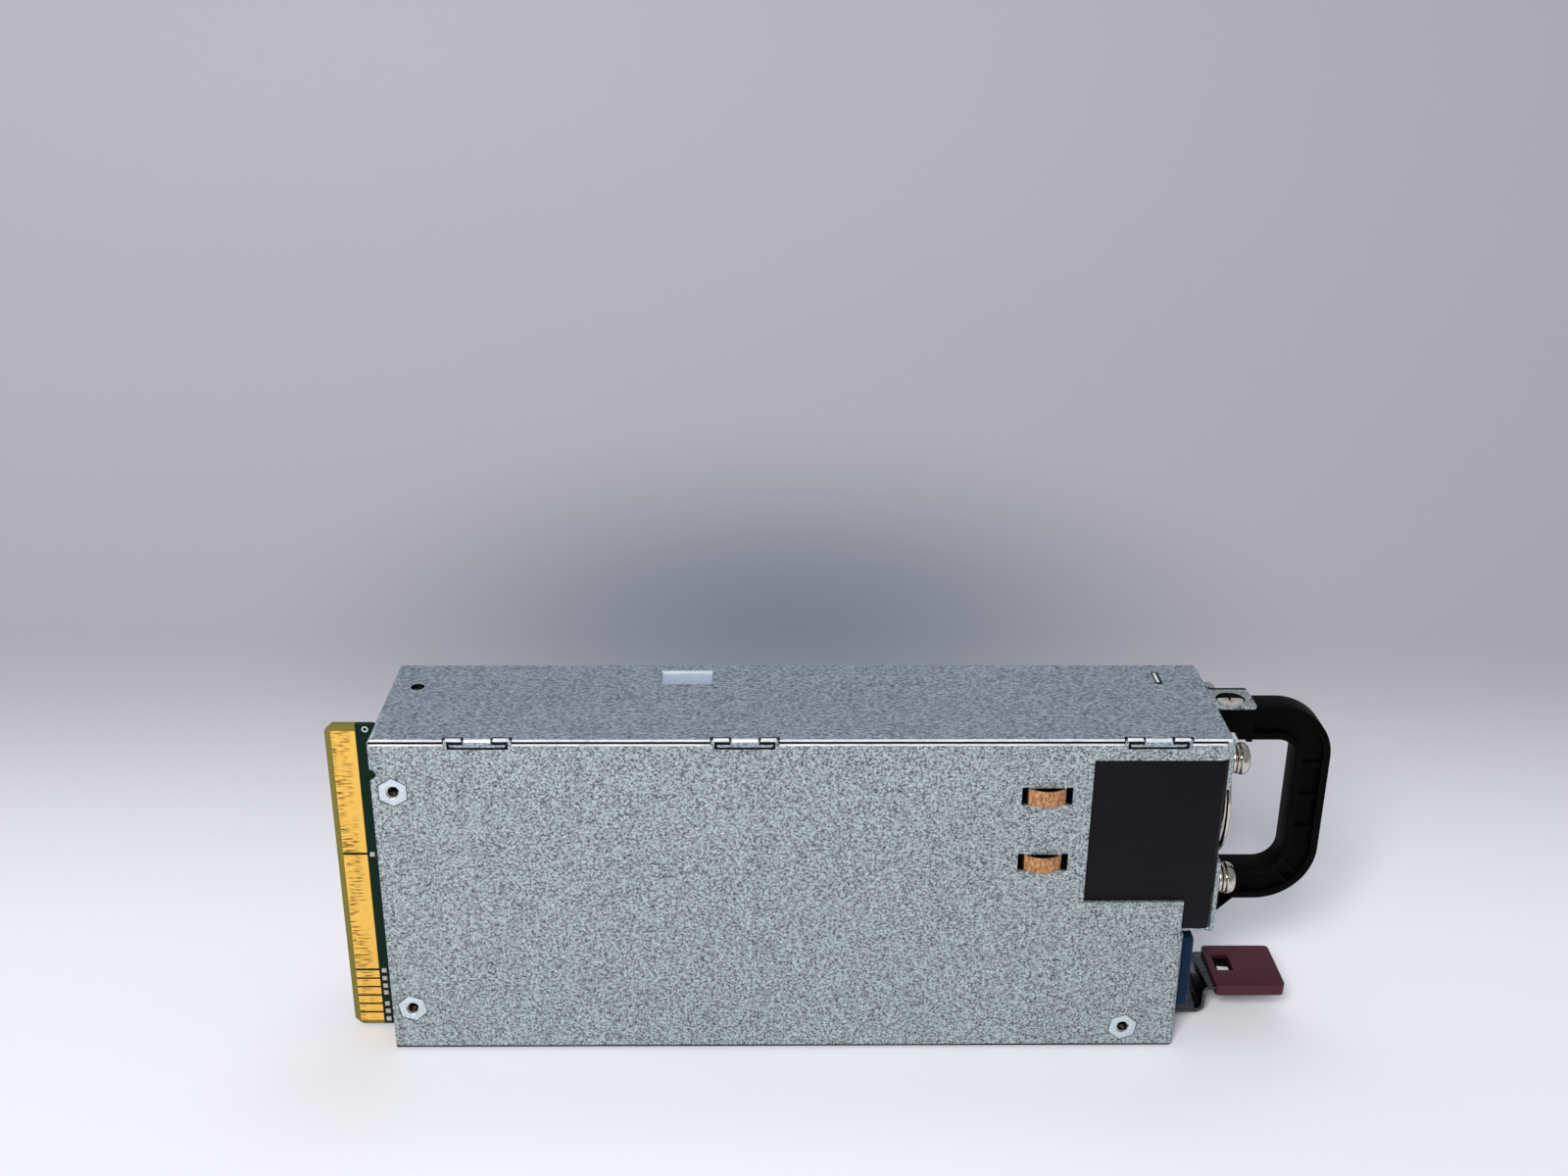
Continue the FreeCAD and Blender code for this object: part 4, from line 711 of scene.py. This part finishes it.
def makeThreads(look):
    # One ridge and one outline are modelled on the Y axis, and each standoff gets a copy of both.
    bpy.ops.object.select_all(action="DESELECT")
    bpy.ops.mesh.primitive_circle_add(vertices=3, radius=look["ridge"] * mm,
                                      location=(look["bore"] * mm, look["start"] * mm, 0))
    ridge = placed("threadRidge")
    shapeBy(ridge, "SCREW", {"axis": "Y", "angle": 2 * math.pi, "screw_offset": look["pitch"] * mm,
                             "iterations": look["turns"], "steps": look["steps"],
                             "render_steps": look["steps"]})
    setMode("EDIT")
    bpy.ops.mesh.select_all(action="SELECT")
    bpy.ops.mesh.fill_holes(sides=3)
    setMode("OBJECT")
    closeMesh(ridge, look["smooth"])
    corner = look["flats"] / 2 / math.cos(math.pi / 6) + look["line"]
    outline = flatRing("pressGapShade", 6, corner, look["line"], (0, wallFace, 0), look["lineDepth"])
    threads = [copyTo(ridge, (x, 0, z)) for x, z, turn in look["places"]]
    lines = [copyTo(outline, (x, 0, z), turn) for x, z, turn in look["places"]]
    bpy.data.objects.remove(ridge)
    bpy.data.objects.remove(outline)
    fitPiece(joined("standoffThreads", threads), "nickelPlate", "chassis")
    fitPiece(joined("pressGapShades", lines), "seamShadow", "chassis")


# Card edge: small tinned pads beside the contacts, strips of painted shade in the gaps between the
# contacts, and a white ring at the top corner
cardMarks = {
    "face": -11.0, "padX": -101.5, "pad": 1.2, "rise": 0.09, "padEdge": 0.14, "padCrown": 0.05,
    "padPlaces": [16.6, 14.3, 12.1, 10.1, 6.8, 4.6, 2.3, 49.6],
    "gapPlaces": [49.75, 17.0, 14.35, 11.85, 9.4, 6.9, 4.4], "gap": 0.42, "gapRise": 0.14,
    "gapEdge": 0.02, "gapStart": -108.4, "gapEnd": -102.2,
    "ringPlace": (-100.4, 83.0), "ringRadius": 0.75, "ringWidth": 0.3, "ringSides": 32,
    "ringLift": 0.01, "ringThick": 0.04,
}


def makeCardMarks(look):
    face, half = look["face"], look["pad"] / 2
    first = look["padPlaces"][0]
    pad = addBlock("cardPad", (look["padX"] - half, face - look["rise"], first - half),
                   (look["padX"] + half, face, first + half))
    markFaces(pad, lambda c, n: n.y < -facing)
    bpy.ops.mesh.inset(thickness=look["padEdge"] * mm)
    bpy.ops.transform.translate(value=(0, -look["padCrown"] * mm, 0))
    setMode("OBJECT")
    pads = [pad] + [copyTo(pad, (0, 0, z - first)) for z in look["padPlaces"][1:]]
    fitPiece(joined("cardPads", pads), "tinnedCopper", "chassis")
    # Painted shade: dark strips in the gaps between the gold contacts.
    first = look["gapPlaces"][0]
    gap = addBlock("contactGap", (look["gapStart"], face - look["gapRise"], first - look["gap"] / 2),
                   (look["gapEnd"], face, first + look["gap"] / 2), look["gapEdge"])
    gaps = [gap] + [copyTo(gap, (0, 0, z - first)) for z in look["gapPlaces"][1:]]
    fitPiece(joined("contactGaps", gaps), "seamShadow", "chassis")
    x, z = look["ringPlace"]
    ring = flatRing("cardRing", look["ringSides"], look["ringRadius"], look["ringWidth"],
                    (x, face - look["ringLift"], z), look["ringThick"])
    fitPiece(ring, "screenInk", "chassis")


# Countersunk cross-recessed screw that holds the handle under the bracket's tab
handleScrew = {
    "place": (102.55, 0.4, 0.0),
    "profile": [(1.5, 79.0), (1.5, 83.05), (2.95, 84.5), (3.1, 84.62), (3.08, 84.7), (2.6, 84.78),
                (1.4, 84.82)],
    "tip": 84.82, "crossLength": 3.7, "crossWidth": 0.8, "crossDepth": 1.3,
}


def makeHandleScrew(look):
    screw = crossScrew("handleScrew", look["place"], (0, 0, 1), look)
    fitPiece(screw, "satinNickel", "chassis", "handle_screw")


# Inside the thumb cap's window: a dark floor and the leaf's tongue with a painted highlight,
# and the nib beside them
capWindow = {
    "low": (106.5, -2.0, 8.54), "high": (110.6, 4.5, 8.7), "rim": 0.3, "sink": 0.08,
    "tongueLow": (107.0, -1.2, 8.72), "tongueHigh": (109.9, 0.4, 9.15), "tongueDrop": 0.25,
    "tongueEdge": 0.12, "tongueSegments": 3, "nib": (109.6, -6.0, 9.65), "nibSides": 20,
    "nibProfile": [(0.5, -0.2), (0.5, 0.06), (0.42, 0.13), (0.2, 0.17)],
}


def makeCapWindow(look):
    floor = addBlock("capFloor", look["low"], look["high"])
    markFaces(floor, lambda c, n: n.z > facing)
    bpy.ops.mesh.inset(thickness=look["rim"] * mm)
    bpy.ops.transform.translate(value=(0, 0, -look["sink"] * mm))
    setMode("OBJECT")
    fitPiece(floor, "mouldedNylon", "release_latch")
    tongue = addBlock("capTongue", look["tongueLow"], look["tongueHigh"])
    markFaces(tongue, lambda c, n: n.x > facing)
    bpy.ops.transform.translate(value=(0, 0, -look["tongueDrop"] * mm))
    setMode("OBJECT")
    bevelEdges(tongue, look["tongueEdge"], look["tongueSegments"])
    closeMesh(tongue)
    # Painted highlight: the tongue gets the near-white edge finish.
    fitPiece(tongue, "paintedEdgeHighlight", "release_latch")
    nib = turnedPiece("capNib", look["nib"], (0, 0, 1), look["nibProfile"], look["nibSides"])
    fitPiece(nib, "burgundyAbs", "release_latch")


# Painted highlights where the sheet was cut or rolled over, and painted shade in narrow gaps, holes
# and folds; places in mm
sheetEdges = {
    "tabs": (-73.2, -12.7, 81.3), "tabReach": 8.2, "tabHalf": 3.5, "slotGrow": 0.14,
    "slotLow": 81.5, "slotHigh": 83.9, "front": -20.02, "back": -19.1,
    "lipLow": 82.6, "lipHigh": 84.2, "lipBack": -18.5,
    "coverFoot": 84.0, "coverFront": -19.5, "coverEnd": 97.6, "hole": (-91.4, 7.1), "holeReach": 1.78,
    "windowLow": (-34.0, 7.0), "windowHigh": (-20.4, 16.5), "plateLow": 82.9, "plateLift": 1.65,
    "foldHigh": 0.95, "foldBack": -18.6, "tabEnd": 92.0, "tabLow": 83.0,
    "screwReach": 3.75, "screwLow": 80.0, "screwSlope": 0.95,
    "recessFloor": (100.0, 1.5), "floorLift": -4.2,
}


def dressSheets(look):
    # In the tests, a normal above 0.2 to 0.5 leans that way, and one above facing looks that way.
    tray, cover, plate = finished["tray_shell"], finished["cover_shell"], finished["catch_plate"]
    handle, bracket = finished["handle"], finished["fan_bracket"]
    holeX, holeY = look["hole"]
    screwX, screwY = handleScrew["place"][:2]
    floorX, floorY = look["recessFloor"]

    def fromTab(c):
        return min(abs(c.x - x) for x in look["tabs"])

    def slotWall(c, n):
        inSlot = look["slotLow"] < c.z < look["slotHigh"] and look["front"] < c.y < look["back"]
        return fromTab(c) < look["tabReach"] and inSlot and abs(n.y) < 0.2 and n.z > -0.2

    def trayLip(c, n):
        inLip = look["lipLow"] < c.z < look["lipHigh"] and c.y < look["lipBack"]
        return inLip and n.z > 0.3 and fromTab(c) > look["tabHalf"]

    def trayFold(c, n):
        return c.z < look["foldHigh"] and c.y < look["foldBack"] and n.z < -0.18 and n.y < -0.05

    def coverEdge(c, n):
        (x0, y0), (x1, y1) = look["windowLow"], look["windowHigh"]
        above = c.z > look["coverFoot"]
        lip = c.y < look["coverFront"] and above and n.y < -0.2
        end = c.x > look["coverEnd"] and n.x > 0.5
        return lip or end or x0 < c.x < x1 and y0 < c.y < y1 and above and abs(n.z) < facing

    def holeWall(c, n):
        return math.hypot(c.x - holeX, c.y - holeY) < look["holeReach"] and abs(n.z) < facing

    def screwWall(c, n):
        nearScrew = math.hypot(c.x - screwX, c.y - screwY) < look["screwReach"]
        return nearScrew and c.z > look["screwLow"] and abs(n.z) < look["screwSlope"]

    # Painted shade: the tee slots in the tray are widened and their walls painted black.
    markFaces(tray, slotWall)
    bpy.ops.transform.shrink_fatten(value=-look["slotGrow"] * mm)
    setMode("OBJECT")
    paintFaces(tray, "seamShadow", slotWall)
    # Painted highlight on the tray's top bend beside the tees.
    paintFaces(tray, "paintedEdgeHighlight", trayLip)
    # Painted shade on the underside of the tray's bottom fold, where it meets the floor.
    paintFaces(tray, "seamShadow", trayFold)
    # Painted highlight on the cover's front edge, its end and the walls of its window.
    paintFaces(cover, "paintedEdgeHighlight", coverEdge)
    # Painted shade inside the hole in the cover.
    paintFaces(cover, "seamShadow", holeWall)
    # Painted highlight on the bracket's tab.
    paintFaces(bracket, "paintedEdgeHighlight", lambda c, n: c.z > look["tabLow"] and c.x < look["tabEnd"])
    markFaces(plate, lambda c, n: c.z < look["plateLow"])
    bpy.ops.transform.translate(value=(0, 0, look["plateLift"] * mm))
    setMode("OBJECT")
    paint(plate, "smoothPlate")
    # Painted highlight on the walls of the plate under the window.
    paintFaces(plate, "paintedEdgeHighlight", lambda c, n: abs(n.z) < facing)
    # Painted shade: the standoffs' bore walls get the dark steel, and the screw tips seen down the bores get
    # black.
    for node in ("standoff_rear_upper", "standoff_rear_lower", "standoff_front"):
        paintFaces(finished[node], "oiledSteelAndBoreShade", lambda c, n: abs(n.y) < 0.3 and boreSide(c))
    paint(finished["board_screws"], "oiledSteelAndBoreShade")
    paintFaces(finished["board_screws"], "seamShadow", lambda c, n: n.y < -0.5 and boreSide(c))
    # Painted shade in the countersinks round the handle's screw, on the bracket and the handle.
    for piece in (bracket, handle):
        paintFaces(piece, "seamShadow", screwWall)
    markFaces(handle, lambda c, n: n.y < -facing and c.y > floorY and c.x > floorX)
    bpy.ops.transform.translate(value=(0, look["floorLift"] * mm, 0))
    setMode("OBJECT")


# Lines of the seam, of each tee and of its lugs, in mm: dark strips are painted shade in the gaps, and the
# rolled lips, lugs and lance carry a painted highlight; proud is how far they stand out of the wall
seamLines = {
    "line": 0.55, "proud": 0.04,
    "runs": [(-97.8, -80.9), (-65.5, -20.4), (-5.0, 73.6), (89.0, 97.0)],
    "shadeLow": 83.9, "shadeHigh": 84.4, "shadeBack": -19.3,
    "lipLow": 83.2, "lipHigh": 83.95, "lipProud": 0.03, "lipBack": -19.4, "lipEdge": 0.28,
    "teeHalf": 6.38, "teeLow": 83.0, "teeHigh": 84.2, "teeBack": -19.5, "neckHalf": 3.2,
    "lugStart": 3.5, "lugEnd": 7.3, "lugLow": 84.35, "lugHigh": 85.05, "lugBack": -19.2, "lugEdge": 0.22,
    "lugShadeLow": 84.3, "lugShadeHigh": 85.01, "lugShadeFront": -19.98, "lugShadeBack": -18.75,
    "lance": ((86.75, 9.4, 84.2), (87.85, 14.9, 85.03)), "lanceEdge": 0.25,
    "lanceShade": ((86.45, 8.5, 84.3), (88.35, 15.1, 85.0)), "shadeEdge": 0.1,
}


def makeSeam(look):
    front, line = wallFace - look["proud"], look["line"]
    shades, lips = [], []
    middle = (look["shadeLow"] + look["shadeHigh"]) / 2
    for x0, x1 in look["runs"]:
        ends = [(x0 + line / 2, middle), (x1 - line / 2, middle)]
        # Painted shade along the seam, over a rolled lip with a painted highlight.
        shades.append(ribbon("seamShade", ends, line, front, look["shadeBack"]))
        lips.append(addBlock("rolledLip", (x0, front - look["lipProud"], look["lipLow"]),
                             (x1, look["lipBack"], look["lipHigh"]), look["lipEdge"]))
    # One tee is modelled at the first tab, and the other tabs get copies of it.
    x, *others = sheetEdges["tabs"]
    low, high = look["teeLow"] - line / 2, look["teeHigh"] - line / 2
    side, neck = look["teeHalf"] + line / 2, look["neckHalf"] + line / 2
    outline = [(x - neck, high), (x - side, high), (x - side, low),
               (x + side, low), (x + side, high), (x + neck, high)]
    # Painted shade round the tee and beside its lugs; the lugs carry a painted highlight.
    teeShades = [ribbon("teeShade", outline, line, front, look["teeBack"])]
    teeLips = []
    for way in (-1, 1):
        x0, x1 = sorted((x + way * look["neckHalf"], x + way * (look["lugEnd"] + line)))
        teeShades.append(addBlock("lugShade", (x0, look["lugShadeFront"], look["lugShadeLow"]),
                                  (x1, look["lugShadeBack"], look["lugShadeHigh"]), look["shadeEdge"]))
        x0, x1 = sorted((x + way * look["lugStart"], x + way * look["lugEnd"]))
        teeLips.append(addBlock("lug", (x0, front, look["lugLow"]), (x1, look["lugBack"], look["lugHigh"]),
                                look["lugEdge"]))
    shades += teeShades + [copyTo(piece, (other - x, 0, 0)) for other in others for piece in teeShades]
    lips += teeLips + [copyTo(piece, (other - x, 0, 0)) for other in others for piece in teeLips]
    # The lance carries a painted highlight, with painted shade round and under it.
    lips.append(addBlock("lance", *look["lance"], look["lanceEdge"]))
    shades.append(addBlock("lanceShade", *look["lanceShade"], look["shadeEdge"]))
    fitPiece(joined("seamShades", shades), "seamShadow", "chassis")
    edge = joined("rolledEdges", lips)
    closeMesh(edge)
    fitPiece(edge, "paintedEdgeHighlight", "chassis")


makeFanScrews(fanScrew)
makeGuard(guard)
print("fan screws and guard made")
makeGroundStrips(groundStrip)
makeThreads(standoff)
makeCardMarks(cardMarks)
makeHandleScrew(handleScrew)
makeCapWindow(capWindow)
dressSheets(sheetEdges)
makeSeam(seamLines)
print("small parts made")


def paintedSweep(look):
    # Paint that goes from the floor's tone to the wall's, with one painted shadow behind the part: a soft dark
    # patch.
    m = startMaterial("paintedSweep")
    place = addNode(m, "ShaderNodeTexCoord")
    split = addNode(m, "ShaderNodeSeparateXYZ", {}, {"Vector": place.outputs["Object"]})
    depth = addNode(m, "ShaderNodeMath", {"operation": "ADD"},
                    {0: split.outputs["Y"], 1: split.outputs["Z"]})
    rise = addNode(m, "ShaderNodeMapRange",
                   {"interpolation_type": "SMOOTHSTEP", "From Min": look["rampLow"],
                    "From Max": look["rampHigh"]}, {"Value": depth.outputs[0]})
    plain = addNode(m, "ShaderNodeMix",
                    {"data_type": "RGBA", 6: linear(look["floorColour"]), 7: linear(look["wallColour"])},
                    {0: rise.outputs[0]})
    # Painted shadow: the colour darkens towards the patch's centre.
    away = addNode(m, "ShaderNodeVectorMath", {"operation": "SUBTRACT", 1: look["paintedShadowPlace"]},
                   {0: place.outputs["Object"]})
    squeezed = addNode(m, "ShaderNodeVectorMath", {"operation": "MULTIPLY", 1: look["paintedShadowStretch"]},
                       {0: away.outputs[0]})
    distance = addNode(m, "ShaderNodeVectorMath", {"operation": "LENGTH"}, {0: squeezed.outputs[0]})
    shade = addNode(m, "ShaderNodeMapRange",
                    {"interpolation_type": "SMOOTHSTEP", "From Min": 0.0, "From Max": look["paintedShadowReach"],
                     "To Min": look["paintedShadowDepth"], "To Max": 0.0}, {"Value": distance.outputs["Value"]})
    colour = addNode(m, "ShaderNodeMix", {"data_type": "RGBA", 7: linear(look["paintedShadowColour"])},
                     {0: shade.outputs[0], 6: plain.outputs[2]})
    shader = addNode(m, "ShaderNodeBsdfPrincipled", {"Roughness": look["paintRough"]},
                     {"Base Color": colour.outputs[2]})
    return finishMaterial(m, shader)


def makeStudio(look):
    # Floor, sweep and wall are one sheet, so no line shows behind the part.
    front, back, radius, steps = look["floorFront"], look["floorBack"], look["sweepRadius"], look["sweepSteps"]
    centre = (0, (front + back) / 2, 0)
    bpy.ops.object.select_all(action="DESELECT")
    bpy.ops.mesh.primitive_plane_add(size=1, location=centre)
    sweep = placed("studio_sweep")
    setMode("EDIT")
    bpy.ops.mesh.select_all(action="SELECT")
    bpy.ops.transform.resize(value=(2 * look["halfWidth"], back - front, 1), center_override=centre)
    setMode("OBJECT")
    markEdges(sweep, lambda at: at.y > back / mm - 1)
    for i in range(steps):
        a, b = math.pi / 2 * i / steps, math.pi / 2 * (i + 1) / steps
        step = (0, radius * (math.sin(b) - math.sin(a)), radius * (math.cos(a) - math.cos(b)))
        extrude(step)
    extrude((0, 0, look["wallTop"] - radius))
    setMode("OBJECT")
    bpy.ops.object.shade_smooth()
    sweep.data.materials.append(paintedSweep(look))


def addLamp(name, place, size, power, aim=(0, 0, 0.04)):
    bpy.ops.object.light_add(type="AREA", location=place)
    lamp = bpy.context.active_object
    lamp.name = name
    lamp.data.shape = "SQUARE"
    lamp.data.size = size
    lamp.data.energy = power
    lamp.rotation_euler = (Vector(aim) - Vector(place)).to_track_quat("-Z", "Y").to_euler()


def makeCamera(look):
    bpy.ops.object.camera_add(location=look["cameraPlace"])
    camera = bpy.context.active_object
    camera.rotation_euler = [math.radians(a) for a in look["cameraTurn"]]
    camera.data.sensor_fit = "HORIZONTAL"
    camera.data.sensor_width = look["sensor"]
    camera.data.lens = look["lens"]
    camera.data.clip_start = look["clipStart"]
    scene.camera = camera


def makeWorld(look):
    scene.world = scene.world or bpy.data.worlds.new("World")
    scene.world.use_nodes = True
    background = scene.world.node_tree.nodes["Background"]
    background.inputs["Color"].default_value = linear(look["worldColour"])
    background.inputs["Strength"].default_value = look["worldStrength"]


makeStudio(studio)
addLamp("key_lamp", studio["keyPlace"], studio["keySize"], studio["keyPower"])
addLamp("fill_lamp", studio["fillPlace"], studio["fillSize"], studio["fillPower"])
makeCamera(studio)
makeWorld(studio)
scene.view_settings.view_transform = "Standard"
print("studio ready")
